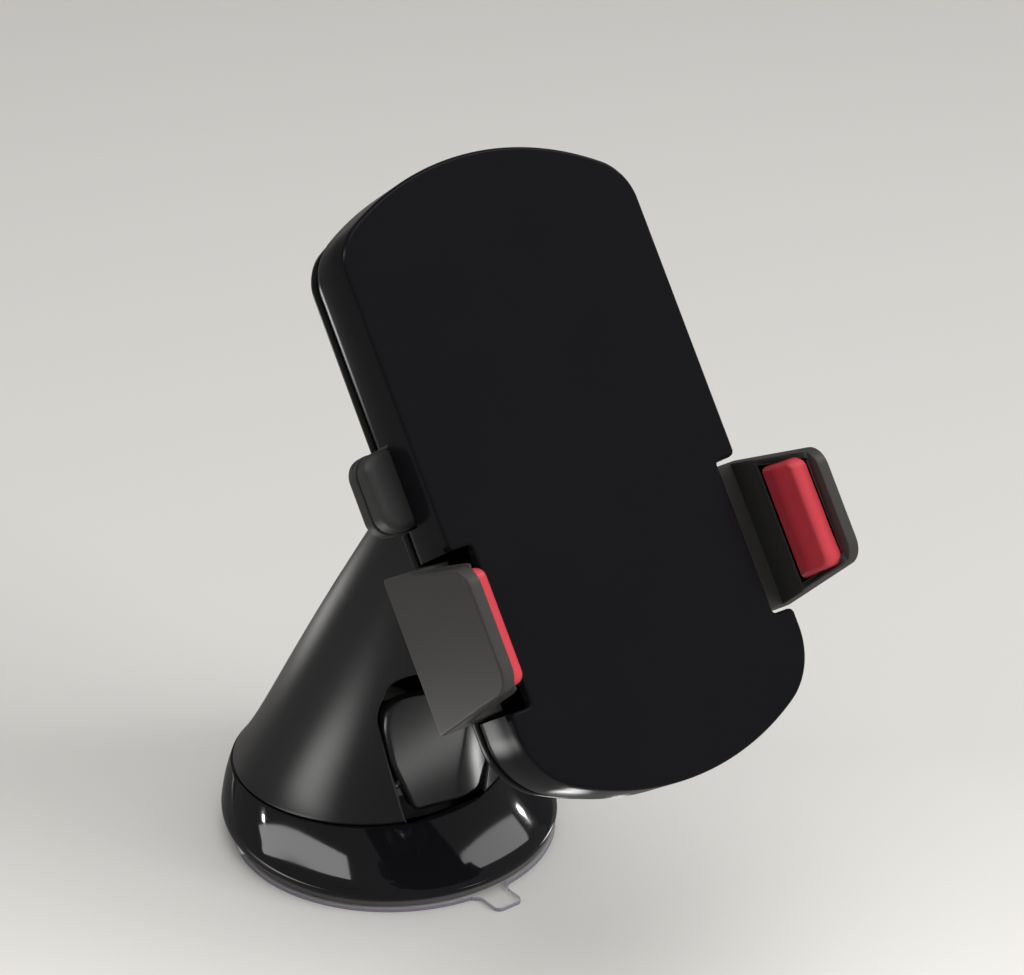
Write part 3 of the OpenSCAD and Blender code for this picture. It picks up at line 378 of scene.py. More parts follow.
def seat_cut(size, p):
    """Flattens the nose where the ball stud's flange sits: points past the seat slide back to its plane."""
    a = math.radians(size.stud_lean)
    axis = np.array([0, -math.sin(a), math.cos(a)])
    along = (p - np.array([0, *ball_centre(size)])) @ axis
    return p - np.maximum(along + SEAT_DROP, 0)[..., None] * axis


def ring_skin(size):
    """Bowl round the cup: its radius is a curve over its height, evened out by a bell-shaped mean, and its
    rings shift back as they rise. The roof has the stem's window in it: a circle, joined by the lever's
    slot in front."""
    z0, h, back = size.ring_foot_z, size.ring_h, size.foot_back
    wall, soft, hem, bell = 2.2, 0.3, 0.25, 19
    window_r, slot_reach, slot_half = 14, 19.4, 9.4
    share_z = [0, 0.06, 0.155, 0.28, 0.476, 0.718, 0.9, 1]
    share_r = [0.78, 0.93, 1, 0.97, 0.765, 0.46, 0.19, 0.03]
    a = np.linspace(0, 2 * math.pi, 288, endpoint=False)
    c, s = np.cos(a), np.sin(a)

    def radius(share):
        return size.foot_r + (size.ring_r - size.foot_r) * smooth_through(share_z, share_r, share)

    def ring(r, share, z):
        return np.stack([r * c, back * share + r * s, np.full_like(a, z)], -1)

    f = 1 - (1 - np.linspace(0.004, 0.985, 84))**1.15
    r = radius(f)
    m = bell // 2
    r = np.concatenate([2 * r[0] - r[m:0:-1], r, 2 * r[-1] - r[-2:-m - 2:-1]])
    r = np.convolve(r, np.hanning(bell) / np.hanning(bell).sum(), "valid")
    foot, edge = r[0], r[-1]
    rows = [ring(foot - 2.3, 0, z0 + hem), ring(foot - 2.1, 0, z0), ring(foot - hem, 0, z0)]
    rows += [ring(ri, fi, z0 + h * fi) for ri, fi in zip(r, f)]
    rows += [ring(edge - i, 1, z0 + h + (d - soft) / 2) for i, d in fillet(soft, 4)[1:]]
    rows += [ring(edge - 0.7, 1, z0 + h), ring(edge - 2, 1, z0 + h)]
    slot = np.minimum(slot_reach / np.maximum(-s, 1e-3), slot_half / np.maximum(np.abs(c), 1e-3))
    window = np.where(s < 0, np.maximum(window_r, slot), window_r)
    rows += [np.stack([window * c, window * s, np.full_like(a, z)], -1) for z in (z0 + h, z0 + h - wall)]
    rows += [ring(radius(fi) - wall, fi, z0 + h * fi) for fi in np.linspace(1 - wall / h, 0.1, 12)]
    return Skin().grid(np.stack(rows + rows[:1]), wrap=True)


def cup_skin(size):
    """Section of the cup carried round: soft lip, sloping disc, boss with the stem's pocket."""
    pad, top = size.pad_t, size.pad_t + 7.2
    lip, lip_t, boss, pocket, bore = size.lip_r, 1.3, 13.2, 11.06, 3.06
    under = [(AXIS_R, top - 3.8), (6.6, top - 3.8), (boss, top - 5.5), (29, pad), (lip, pad)]
    over = [(lip, pad + lip_t), (lip - 2.2, pad + lip_t), (15.2, top - 2.2), (boss, top)]
    inside = [(bore, top), (bore, top - 0.9), (pocket, top - 0.9), (pocket, top - 2.6), (AXIS_R, top - 2.6)]
    radii = [0, 2, 2, 1, 0.25, 0.45, 1, 2, 0.6, 0, 0, 0, 0, 0]
    return Skin().grid(lathe(rounded_path(under + over + inside, radii, 6)), wrap=True)


def pad_skin(size):
    """Disc with a pull tab: one outline with a round edge, drawn in towards the middle."""
    r, half, reach = size.pad_r, size.tab_w / 2, size.tab_reach
    flare, corner, gap = 1.6, 1.5, 2
    start = math.degrees(math.asin(half / r))
    circle = arc((0, 0), r, -90 + start + gap, 270 - start - gap, 240)
    neck = -math.sqrt(r * r - half * half)
    right = [(half, -reach), (half, neck - 1.2), (half + flare, neck + 0.2)]
    left = [(-x, y) for x, y in right[::-1]]
    tab = rounded_path(left + right, [0, corner, corner, corner, corner, 0], 8)
    path = spread(np.concatenate([circle, tab]), 520)
    return Skin().tube(slab_rows(path, 0, size.pad_t, 0.12, 0.3))


def lever_skin(size):
    """Plate between two offsets of the tower's skin: rings shrink from its outline to its middle, the
    scoop pushes the face in, and two cams stand behind it, each with a web that ties it to the plate."""
    low, length = size.foot_z + 1.8, 28.8
    soft, thick, behind = 0.8, 2.5, 1.6
    path = spread(half_shape(size.lever_w, low, length, (0.54, 0.89, 1, 0.955), (0, 0.437, 0.73, 1),
                             (0.15, 1.4, 0.8, 0.38)), 260)
    n = normals_of(path)
    centre = np.array([0.0, low + length * 0.52])

    def dug(p, inset):
        q = on_front(size, p, inset)
        q[:, 1] += scoop(size, on_front(size, p))
        return q

    inner = path - n * soft
    shrink = np.concatenate([[0.985], np.linspace(0.96, 0.02, 64)])
    rows = [on_front(size, centre + (path - centre) * s, thick) for s in np.linspace(0.02, 1, 14)]
    rows += [on_front(size, path, thick * (1 - f) + soft * f) for f in (0.5, 1)]
    rows += [dug(path - n * i, soft - d) for i, d in fillet(soft, 7)[1:]]
    rows += [dug(centre + (inner - centre) * s, 0.0) for s in shrink]
    skin = Skin().tube(np.stack(rows))
    pin_y, pin_z, cam_r, tip, lift = -15.5, 21, 4, math.radians(55), 0.8 / math.sin(math.radians(35))
    cam = arc((pin_y - lift * math.sin(tip), pin_z + lift * math.cos(tip)), cam_r, 0, 360, 49)[:-1]
    web = rounded_path([(-20.5, 17.8), (pin_y, 17.8), (pin_y, 24.6), (-20.5, 24.8)], [0.3] * 4, 4)
    for outline in (cam, web):
        rows = side_on(slab_rows(outline, 5, 8, 0.2, 0.2))
        limit = on_front(size, rows[..., [0, 2]].reshape(-1, 2), behind)[:, 1]
        rows[..., 1] = np.maximum(rows[..., 1], limit.reshape(rows.shape[:2]))
        skin.tube(rows).tube(rows * MIRROR_3D)
    return skin


def scoop(size, q):
    """Depth of the finger scoop: a wide cylinder laid across the plate's left part. Its right side ends
    in a crease, softened by taking half the sum of the depth and the root of its square plus a small one."""
    z, radius, depth, crease = 28.0, 60, 1.4, 0.12
    side, lean, turn = math.radians(15), math.radians(5), math.radians(-25)
    out = np.array([-math.sin(side), -math.cos(side), 0])
    front = float(tower_radius(size, np.array(z))) + radius - depth
    origin = np.array([0, float(tower_centre(size, z)), z]) + out * front
    axis = (Matrix.Rotation(-side, 3, "Z") @ Matrix.Rotation(turn, 3, "Y") @ Matrix.Rotation(lean, 3, "X")
            @ Vector((0, 0, 1)))
    axis = np.array(axis)
    d = q - origin
    d = d - (d @ axis)[:, None] * axis
    dig = radius - np.linalg.norm(d, axis=1)
    return 0.5 * (dig + np.sqrt(dig**2 + crease**2))


# Ball joint

def stud_skin(size):
    """Ball, neck and flange as one turned profile."""
    r, neck, flange, seat, end = size.ball_r, 3.2, 7, -12.4, -22.4
    ball = arc((0, 0), r, 90, -90 + math.degrees(math.asin(neck / r)) + 4, 60)[1:]
    # Known fault: the outline folds straight back at the first corner, so its radius should be 0. As it
    # is, that corner's points are not finite and the neck is missing.
    foot = rounded_path([(neck, -9.5), (neck, -11.0), (flange, -11.0), (flange, seat), (neck, seat)],
                        [0.6, 0.6, 0.4, 0.2, 0], 6)
    shank = [(neck, seat), (3, seat - 0.1), (3, -22.0), (2.4, end), (AXIS_R, end)]
    return Skin().grid(lathe(np.concatenate([[(AXIS_R, r)], ball, foot, shank]), 96), wrap=True)


def nut_skin(size):
    """Turned profile with grip flutes: near its edge the radius follows the flutes' circles, and a small
    number under a root softens the corner where a circle meets the rim."""
    rim, low, front, bore = size.nut_r, -7.0, 13.5, 11.5
    flute_r, flute_out, blunt, grip_r, step = 2.2, 1.3, 0.12, 12.5, 1.2
    profile = rounded_path(
        [(9.0, low), (9.4, low), (rim, -3.4), (rim, front), (bore, front), (bore, -0.6), (SOCKET_R, -0.6),
         (7.6, -5.0)], [0.2, 0.6, 1.2, 0.8, 0.2, 0.2, 0.2, 0.3], 7)
    cut = []
    for a, b in zip(profile, np.roll(profile, -1, 0)):
        cut.append(np.linspace(a, b, max(2, int(np.linalg.norm(b - a) / step) + 1), endpoint=False))
    profile = np.concatenate(cut + [profile[:1]])

    def swell(r, z, a):
        d = (a * size.nut_flutes / (2 * math.pi) + 0.5) % 1 - 0.5
        d = d * 2 * math.pi / size.nut_flutes
        middle = rim + flute_out
        chord = np.sqrt(np.maximum(flute_r**2 - (middle * np.sin(d))**2, 0))
        flute = np.where(chord > 0, middle * np.cos(d) - chord, rim + 1)
        soft = 0.5 * (flute + rim - np.sqrt((flute - rim)**2 + blunt**2))
        dip = (rim - soft) * np.clip((z + 3.0) / 2.0, 0, 1)
        return r - np.where(r > grip_r, dip * np.clip((r - grip_r) / 1.5, 0, 1), 0)

    return Skin().grid(lathe(profile, 420, swell), wrap=True)


# Cradle

def cradle_path(size):
    """Outline of the cradle: straight sides, bowed ends and round corners, counted from the right side up.
    A corner's circle touches its side and the end's bow, so its centre lies the bow's radius less its own
    from the bow's centre."""
    w, bow, top_r, low_r = size.cradle_w, 55.0, 10.0, 14.0
    top_c, low_c = CRADLE_TOP - bow, CRADLE_TOP - size.cradle_l + bow
    tu, lu = w - top_r, w - low_r
    tv = top_c + math.sqrt((bow - top_r)**2 - tu**2)
    lv = low_c - math.sqrt((bow - low_r)**2 - lu**2)
    ta = math.degrees(math.atan2(tv - top_c, tu))
    la = math.degrees(math.atan2(low_c - lv, lu))
    return [("right", np.array([(w, lv), (w, tv)])),
            ("top_right", arc((tu, tv), top_r, 0, ta, 20)),
            ("top", arc((0, top_c), bow, ta, 180 - ta, 60)),
            ("top_left", arc((-tu, tv), top_r, 180 - ta, 180, 20)),
            ("left", np.array([(-w, tv), (-w, lv)])),
            ("low_left", arc((-lu, lv), low_r, 180, 180 + la, 24)),
            ("low", arc((0, low_c), bow, 180 + la, 360 - la, 60)),
            ("low_right", arc((lu, lv), low_r, 360 - la, 360, 24))]


def along_v(v0, v1, x, n=10):
    """Straight run of points along the cradle, at one place across."""
    return np.stack([np.full(n, x), np.linspace(v0, v1, n)], -1)


def swept_wall(skin, path, profile):
    """Closed profile of (inset, height) carried along an open path, with flat ends."""
    loop = np.swapaxes(raised(path, normals_of(path, closed=False), profile), 0, 1)
    skin.tube(loop)


def front_skin(size):
    """Plate with a round edge and a notch for each jaw, and walls carried along the outline below it. The
    wall rounds in at its foot, and stops short over the release button."""
    s = dict(cradle_path(size))
    w, face = size.cradle_w, size.face_z
    hi, lo, notch_in, wall = -6.9, -37.2, 28.3, 2.0
    inner, foot, over = face - 2, face - 13, face - 7.7
    lv, tv = s["right"][:, 1]
    top = [s["top_right"][1:], s["top"][1:-1], s["top_left"]]
    low = [s["low_left"][1:], s["low"][1:-1]]
    notch = rounded_path([(w, lv), (w, lo), (notch_in, lo), (notch_in, hi), (w, hi), (w, tv)],
                         [0, 1.1, 0.9, 0.9, 1.1, 0], 9)
    plate = np.concatenate([notch, *top, (notch[::-1] * MIRROR_2D)[1:], *low, s["low_right"][:-1]])
    skin = Skin().tube(slab_rows(spread(plate, 900), inner, face, 0, 0.6, 0.2))
    full = [(0, inner), (0, face - 4), (0, foot + 3), (0.3, foot + 1.9), (0.72, foot + 0.85),
            (0.85, foot + 0.3), (1.1, foot), (2.7, foot), (2.7, foot + 0.8), (wall, foot + 3), (wall, inner)]
    short = [(0, inner), (0, face - 4), (0, over + 0.2), (0.2, over), (1.8, over), (wall, over + 0.2),
             (wall, inner)]
    upper = np.concatenate([along_v(hi, tv, w), *top, along_v(tv, SLOT_HIGH, -w)[1:]])
    lower = np.concatenate([along_v(lo, lv, -w), *low, s["low_right"], along_v(lv, lo, w)[1:]])
    swept_wall(skin, upper, full)
    swept_wall(skin, along_v(SLOT_HIGH, SLOT_LOW, -w), short)
    swept_wall(skin, along_v(SLOT_LOW, hi, -w), full)
    swept_wall(skin, lower, full)
    return skin


def rear_skin(size):
    """Shallow dished cover: rings drawn in from the outline; the button's slot is left out of them and
    walled, and the socket's hub stands on the back."""
    s = dict(cradle_path(size))
    w, face = size.cradle_w, size.face_z
    top, strip, slot_in, near = face - 13.2, face - 15.3, 5.9, 1e-6
    lv, tv = s["right"][:, 1]
    path = np.concatenate([along_v(lv, tv, w, 40)[:-1], s["top_right"], s["top"][1:-1], s["top_left"],
                           along_v(tv, SLOT_HIGH, -w, 16)[1:], along_v(SLOT_HIGH, SLOT_LOW, -w, 8)[1:],
                           along_v(SLOT_LOW, lv, -w, 20)[1:],
                           s["low_left"][1:], s["low"][1:-1], s["low_right"][:-1]])
    n = normals_of(path)
    on_left = path[:, 0] < -w + near
    inside = on_left & (path[:, 1] <= SLOT_HIGH + near) & (path[:, 1] >= SLOT_LOW - near)
    n[on_left & (path[:, 1] < tv - near) & (path[:, 1] > lv + near)] = (-1, 0)
    steps = [(1.05, top), (0.92, top - 0.02), (0.82, top - 0.1), (0.75, top - 0.3), (0.75, strip + 0.9),
             (0.8, strip + 0.3), (0.95, strip - 0.05), (1.25, strip - 0.3), (1.8, strip - 0.52),
             (2.6, strip - 0.72), (3.8, strip - 0.98), (slot_in, strip - 1.2), (6.4, strip - 1.38),
             (8.0, strip - 1.52), (9.4, strip - 1.6)]
    rows = raised(path, n, steps)
    k = [inset for inset, height in steps].index(slot_in)
    skin = Skin().grid(rows[k:], wrap=True).face(rows[-1])
    first, last = np.flatnonzero(inside)[[0, -1]]
    order = np.concatenate([np.arange(last, len(path)), np.arange(0, first + 1)])
    skin.grid(rows[:k + 1, order])
    skin.face(np.concatenate([rows[0, order], [(-w + slot_in, v, top) for v in (SLOT_HIGH, SLOT_LOW)]]))
    for j in (first, last):
        skin.face(np.concatenate([rows[:k + 1, j], [(-w + slot_in, path[j, 1], top)]]))
    seat = rows[k, first:last + 1]
    skin.grid(np.stack([seat, np.column_stack([seat[:, :2], np.full(len(seat), top)])]))
    sill = rounded_path([(28.7, -36.8), (32.1, -36.8), (32.1, -7.3), (28.7, -7.3)], [0.3] * 4, 4)
    for outline in (sill[::-1] * MIRROR_2D, sill):
        skin.tube(slab_rows(outline, top - 0.3, face - 12.4, 0, 0.2, 0.1))
    socket = arc((0, 0), SOCKET_R, 90, 2, 30)[1:]
    hub_r, hub_top = 11.2, 14.8
    rim = [(9.2, 0.3), (11.0, 0.3), (hub_r, 0.5), (hub_r, hub_top), (AXIS_R, hub_top)]
    hub = np.concatenate([[(AXIS_R, SOCKET_R)], socket, rim])
    return skin.grid(lathe(hub, 128) + np.array([0, size.ball_along, -size.ball_behind]), wrap=True)


def jaw_outline(size, d=0.0):
    """Side view of a jaw, (along, out), drawn in by d: a blunt wedge that is narrower in front."""
    half, taper, r = 14.85 - d, 3.9, 4.2 - d
    back, front = size.face_z - JAW_BACK + d, size.face_z + 15 - d
    return rounded_path([(JAW_MIDDLE + half, back), (JAW_MIDDLE + half - taper, front),
                         (JAW_MIDDLE - half + taper, front), (JAW_MIDDLE - half, back)], [0.8, r, r, 0.8], 14)


def one_side(p, low, high, sign):
    """Points of a jaw's side view on one side of its middle and between two heights, from the top down."""
    q = p[(sign * (p[:, 0] - JAW_MIDDLE) > 0) & (p[:, 1] > low) & (p[:, 1] < high)]
    return q[np.argsort(-q[:, 1])]


def clip_band(path, low, high):
    """The part of a side view outline between two heights, as a closed outline."""
    def at(q, z):
        q = q[np.argsort(q[:, 1])]
        return np.interp(z, q[:, 1], q[:, 0])

    p = spread(path, 900)
    plus, minus = one_side(p, low, high, 1)[::-1], one_side(p, low, high, -1)
    loop = np.concatenate([[(at(plus, low), low)], plus, [(at(plus, high), high), (at(minus, high), high)],
                           minus, [(at(minus, low), low)]])
    return spread(loop, 160)


def jaw_skin(size):
    """Wall with soft edges, a head with two end flanges and a ledge, the root and the sliding tray. The
    flanges fade towards the front."""
    face, back = size.face_z, size.face_z - JAW_BACK + 0.2
    outside = size.jaw_span / 2
    wall = outside - JAW_WALL
    seam = wall + 0.05
    skin = Skin().tube(side_on(slab_rows(spread(jaw_outline(size), 320), wall, outside, 0.3, 0.4)))
    head, low, high, fade, least = face + 0.4, face + 1.4, face + 13.1, 5, 0.12
    outer, inner = spread(jaw_outline(size), 1200), spread(jaw_outline(size, 1.3), 1200)
    loop = np.concatenate([one_side(outer, head, high, 1), one_side(outer, head, high, -1)[::-1],
                           one_side(inner, low, high, -1), one_side(inner, low, high, 1)[::-1]])
    rows = side_on(slab_rows(spread(loop, 420), wall - 2.7, seam, 0.22, 0, 0.12))
    share = smooth_through([0, 0.35, 1], [0, 0.5, 1], np.clip((high - rows[..., 2]) / fade, 0, 1))
    rows[..., 0] = seam - (seam - rows[..., 0]) * (least + (1 - least) * share)
    skin.tube(rows)
    root = clip_band(jaw_outline(size), back, face + 0.5)
    skin.tube(side_on(slab_rows(root, wall - 1.7, seam, 0.2, 0)))
    tray = clip_band(jaw_outline(size, 0.05), back, back + 4.2)
    return skin.tube(side_on(slab_rows(tray, 29.5, wall - 1.6, 0.2, 0)))


def pad_rubber_skin(size):
    """Rings shrink from the pad's side outline to its middle; each point stands off the jaw's wall by the
    profile, a low roof with its ridge half way, and rounds off at the rim."""
    mid, soft, depth = JAW_MIDDLE, 1.3, 4
    wall = size.jaw_span / 2 - JAW_WALL
    low, h = size.face_z + 1.46, 11.1
    heights, roof = [0, 0.25, 0.47, 0.53, 0.75, 1.0], [0.72, 0.86, 0.985, 0.99, 0.94, 0.87]
    corners = [(mid - 11.45, low), (mid + 11.45, low), (mid + 10.5, low + h), (mid - 10.7, low + h)]
    path = spread(rounded_path(corners, [1.4, 1.4, 2.3, 2.3], 14), 240)
    n = normals_of(path)
    inner, centre = path - n * soft, np.array([mid, low + h * 0.55])

    def stand(p, rim):
        share = smooth_through(heights, roof, np.clip((p[:, 1] - low) / h, 0, 1))
        return np.column_stack([wall - depth * share * rim, p])

    rows = [np.column_stack([np.full(len(path), wall - 0.02), path])]
    rows += [stand(path - n * soft * (1 - math.cos(w)), math.sin(w)**0.6)
             for w in np.linspace(0.12, math.pi / 2, 9)]
    rows += [stand(centre + (inner - centre) * f, 1.0) for f in np.linspace(0.97, 0.02, 46)]
    return Skin().tube(np.stack(rows))


def button_skin(size):
    """Three layers with round outer corners: the foot, a groove, and the block with its round front edge;
    behind them the lip that holds the button in the cover."""
    mid, half, lip_half = 7.25, 7.6, 8.8
    front, root, lip_in = size.face_z - 8, 29.9, 28.3
    outside = size.cradle_w + size.button_out
    skin = Skin()

    def layer(inset, z0, z1, soft_low, soft_high):
        low, high = mid - half + inset, mid + half - inset
        path = rounded_path([(root, low), (outside - inset, low), (outside - inset, high), (root, high)],
                            [0.2, 3.8, 3.8, 0.2], 16)
        skin.tube(slab_rows(spread(path, 220), z0, z1, soft_low, soft_high, 0.1))

    layer(0.0, front - 7.3, front - 4.55, 0.45, 0.3)
    layer(0.75, front - 4.7, front - 4.0, 0, 0)
    layer(0.15, front - 4.2, front, 0.25, 1.5)
    low, high = mid - lip_half, mid + lip_half
    lip = rounded_path([(lip_in, low), (root, low), (root, high), (lip_in, high)], [0.3] * 4, 4)
    return skin.tube(slab_rows(lip, size.face_z - 12.1, size.face_z - 6.5, 0.1, 0.1, 0.1))


def mirrored(place):
    """The same turn for the mirror image, on the left."""
    return lambda p: place(p * MIRROR_3D)


# Shader expressions

class Value:
    """A shader socket that can be used in sums; each sum adds a Math node."""

    def __init__(self, tree, socket):
        self.tree, self.socket = tree, socket

    def math(self, operation, other, flip=False):
        """A sum with another value or number; flip puts the other one first."""
        node = self.tree.nodes.new("ShaderNodeMath")
        node.operation = operation
        pair = (other, self) if flip else (self, other)
        for k, item in enumerate(pair):
            if isinstance(item, Value):
                self.tree.links.new(item.socket, node.inputs[k])
            else:
                node.inputs[k].default_value = item
        return Value(self.tree, node.outputs[0])

    def clamped(self):
        out = self * 1.0
        out.socket.node.use_clamp = True
        return out


for sign, operation in (("add", "ADD"), ("sub", "SUBTRACT"), ("mul", "MULTIPLY"), ("truediv", "DIVIDE"),
                        ("pow", "POWER")):
    setattr(Value, f"__{sign}__", partialmethod(Value.math, operation))
    setattr(Value, f"__r{sign}__", partialmethod(Value.math, operation, flip=True))


class Finish:
    """A material on one Principled shader, with its nodes added by kind."""

    def __init__(self, name, **fixed):
        self.material = bpy.data.materials.get(name) or bpy.data.materials.new(name)
        self.material.use_nodes = True
        self.tree = self.material.node_tree
        self.tree.nodes.clear()
        out = self.tree.nodes.new("ShaderNodeOutputMaterial")
        self.shader = self.tree.nodes.new("ShaderNodeBsdfPrincipled")
        self.tree.links.new(self.shader.outputs[0], out.inputs[0])
        for key, value in fixed.items():
            self.shader.inputs[key.replace("_", " ")].default_value = value
        self.place = self.add("ShaderNodeTexCoord").outputs["Object"]

    def add(self, kind, settings=None, **sockets):
        node = self.tree.nodes.new(kind)
        for key, value in (settings or {}).items():
            setattr(node, key, value)
        for key, value in sockets.items():
            spot = node.inputs[key.replace("_", " ")]
            if isinstance(value, Value):
                value = value.socket
            if isinstance(value, bpy.types.NodeSocket):
                self.tree.links.new(value, spot)
            else:
                spot.default_value = value
        return node

    def value(self, kind, output, **sockets):
        """One output of a new node, ready for sums."""
        return Value(self.tree, self.add(kind, **sockets).outputs[output])

    def noise(self, scale, detail=3.0, rough=0.5):
        return self.value("ShaderNodeTexNoise", "Fac", Vector=self.place, Scale=scale, Detail=detail,
                          Roughness=rough)

    def blend(self, mask, dark, light):
        """Colour between two, by a mask; inputs 6 and 7 and output 2 are the Mix node's colours."""
        node = self.add("ShaderNodeMix", {"data_type": "RGBA"})
        self.tree.links.new(mask.socket, node.inputs[0])
        node.inputs[6].default_value = (*dark, 1)
        node.inputs[7].default_value = (*light, 1)
        return node.outputs[2]

    def feed(self, key, value):
        self.tree.links.new(value.socket if isinstance(value, Value) else value, self.shader.inputs[key])

    def bump(self, height, strength, distance):
        node = self.add("ShaderNodeBump", Height=height, Strength=strength, Distance=distance)
        self.feed("Normal", node.outputs[0])


def tinted(colour, f):
    """A colour made lighter or darker by a factor."""
    return tuple(min(1.0, c * f) for c in colour)


def moulded(name, colour, rough, grain, grain_depth, vary=0.06, shine=0.5, metallic=0.0):
    """Moulded or turned surface: a fine grain, and faint handling marks in gloss and colour."""
    f = Finish(name, Specular_IOR_Level=shine, IOR=1.5, Metallic=metallic)
    marks = f.noise(38.0, 4.0, 0.6)
    fine = f.noise(grain, 2.0, 0.55)
    mask = (marks * 0.7 + fine * 0.3).clamped()
    f.feed("Base Color", f.blend(mask, tinted(colour, 0.82), tinted(colour, 1.2)))
    f.feed("Roughness", (rough - vary / 2 + marks * vary + (fine - 0.5) * vary * 0.5).clamped())
    f.bump(fine, 0.35, grain_depth)
    return f.material


def gel_finish(c):
    """Clear gel with painted shade: a rim, one less the square of how far a face looks up or down, is painted
    darker and less clear.
    """
    f = Finish("Clear gel", IOR=1.42)
    cloud = f.noise(60.0, 3.0)
    normal = f.add("ShaderNodeNewGeometry").outputs["Normal"]
    upright = f.value("ShaderNodeSeparateXYZ", "Z", Vector=normal)
    # The rim is a mask of painted shade on the faces that look sideways
    rim = (1.0 - upright * upright).clamped()
    f.feed("Base Color", f.blend((rim * 1.4 - cloud * 0.2).clamped(), tinted(c.gel, 0.9), c.gel_edge))
    f.feed("Alpha", (rim * 0.6 + 0.08 + cloud * 0.06).clamped())
    f.feed("Roughness", (cloud * 0.12 + 0.04).clamped())
    f.bump(f.noise(240.0, 2.0), 0.2, 0.00005)
    return f.material


def paint(piece, material):
    piece.data.materials.clear()
    piece.data.materials.append(material)


# Sizes and colours that a user would change

def length(name, text, value):
    return bpy.props.FloatProperty(name=name, description=text, default=value * MM, unit="LENGTH",
                                   precision=4)


def degrees(name, text, value):
    return bpy.props.FloatProperty(name=name, description=text + ", in degrees", default=value)


def shade(name, text, value):
    return bpy.props.FloatVectorProperty(name=name, description=text, default=value, size=3, min=0, max=1,
                                         subtype="COLOR")


class HolderSizes(bpy.types.PropertyGroup):
    """Sizes of the holder's skins"""
    ring_r: length("Ring radius", "Greatest radius of the base ring", 35.1)
    ring_h: length("Ring height", "Height of the base ring", 10.3)
    ring_foot_z: length("Ring foot", "Height of the ring's lower edge", 2.6)
    pad_r: length("Pad radius", "Radius of the clear gel pad", 34)
    pad_t: length("Pad thickness", "Thickness of the gel pad", 1)
    tab_w: length("Tab width", "Width of the pull tab", 6.5)
    tab_reach: length("Tab reach", "Distance from the middle to the tab's tip", 40.7)
    lip_r: length("Lip radius", "Radius of the suction cup's lip", 33.4)
    foot_r: length("Foot radius", "Radius of the tower's foot", 29.2)
    foot_z: length("Foot height", "Height of the tower's lower edge", 13.1)
    foot_back: length("Foot set-back", "How far the tower's foot lies behind the cup's middle", 8.5)
    nose_r: length("Nose radius", "Radius of the tower at its nose", 12.5)
    nose_z: length("Nose height", "Height of the nose's middle", 77.2)
    nose_lean: length("Nose lean", "How far the nose leans forward", 17)
    recess_w: length("Recess half width", "Half width of the lever's recess", 16)
    recess_h: length("Recess height", "Height of the lever's recess above the foot", 36)
    lever_w: length("Lever half width", "Half width of the lever", 14.5)
    ball_r: length("Ball radius", "Radius of the ball", 9)
    ball_out: length("Ball distance", "Distance from the nose's middle to the ball", 24)
    ball_along: length("Ball along", "Place of the ball along the cradle", 6.1)
    ball_behind: length("Ball behind", "Distance of the ball behind the phone's glass", 40.9)
    nut_r: length("Nut radius", "Greatest radius of the collar nut", 15)
    cradle_w: length("Cradle half width", "Half width of the cradle", 33)
    cradle_l: length("Cradle length", "Length of the cradle", 120.5)
    face_z: length("Cradle face", "Place of the cradle's front face behind the phone's glass", -10)
    jaw_span: length("Jaw span", "Distance between the jaws' outer faces", 82)
    button_out: length("Button height", "How far the release button stands out", 5.6)
    stud_lean: degrees("Stud lean", "Lean of the ball stud from upright", 45)
    cradle_lean: degrees("Cradle lean", "Lean of the cradle's face from upright", 35.3)
    nut_flutes: bpy.props.IntProperty(name="Nut flutes", description="Number of grip flutes round the nut",
                                      default=14)


class HolderColours(bpy.types.PropertyGroup):
    """Colours of the holder's finishes"""
    tower: shade("Tower", "Satin black of the tower and lever", (0.0105, 0.0105, 0.0115))
    gloss: shade("Gloss", "Piano black of the ring and the cradle", (0.006, 0.006, 0.0075))
    cup: shade("Cup", "Dark rubber of the suction cup", (0.085, 0.083, 0.084))
    jaw: shade("Jaws", "Matte dark grey of the jaws", (0.042, 0.041, 0.0395))
    button: shade("Button", "Matte black of the release button", (0.030, 0.030, 0.030))
    rubber: shade("Rubber pads", "Coral red of the rubber pads", (0.50, 0.038, 0.054))
    gel: shade("Gel", "Clear gel of the pad", (0.92, 0.94, 0.90))
    # Painted shade for the gel's sideways faces
    gel_edge: shade("Gel edge", "Darker tint at the gel's edge", (0.20, 0.18, 0.25))
    steel: shade("Steel", "Plain steel of pins, screws and springs", (0.50, 0.50, 0.51))
    nylon: shade("Nylon", "Pale nylon of the inner parts", (0.66, 0.65, 0.60))
    floor: shade("Floor", "Pale studio floor", (0.80, 0.785, 0.76))


class Sizes:
    """The same sizes as plain numbers, lengths in millimetres."""

    def __init__(self, group):
        for key in HolderSizes.__annotations__:
            value = getattr(group, key)
            plain = key in ("stud_lean", "cradle_lean", "nut_flutes")
            setattr(self, key, value if plain else value / MM)


def sizes():
    return Sizes(bpy.context.scene.holder_sizes)


def colours():
    return bpy.context.scene.holder_colours


def settle(piece, body, slot, material, *nodes):
    """The piece gets its finish, rides on its body and stands for its CAD nodes."""
    paint(piece, material)
    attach(piece, body)
    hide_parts(*nodes)


class HOLDER_OT_tower(bpy.types.Operator):
    """Leaning tower shell with the lever's recess"""
    bl_idname = "holder.tower"
    bl_label = "Tower shell"

    def execute(self, context):
        mat = moulded("Satin black", colours().tower, 0.30, 2600.0, 0.00002, 0.05)
        settle(tower_skin(sizes()).build("tower_skin"), "base", "satin", mat, "tower_shell")
        return {"FINISHED"}


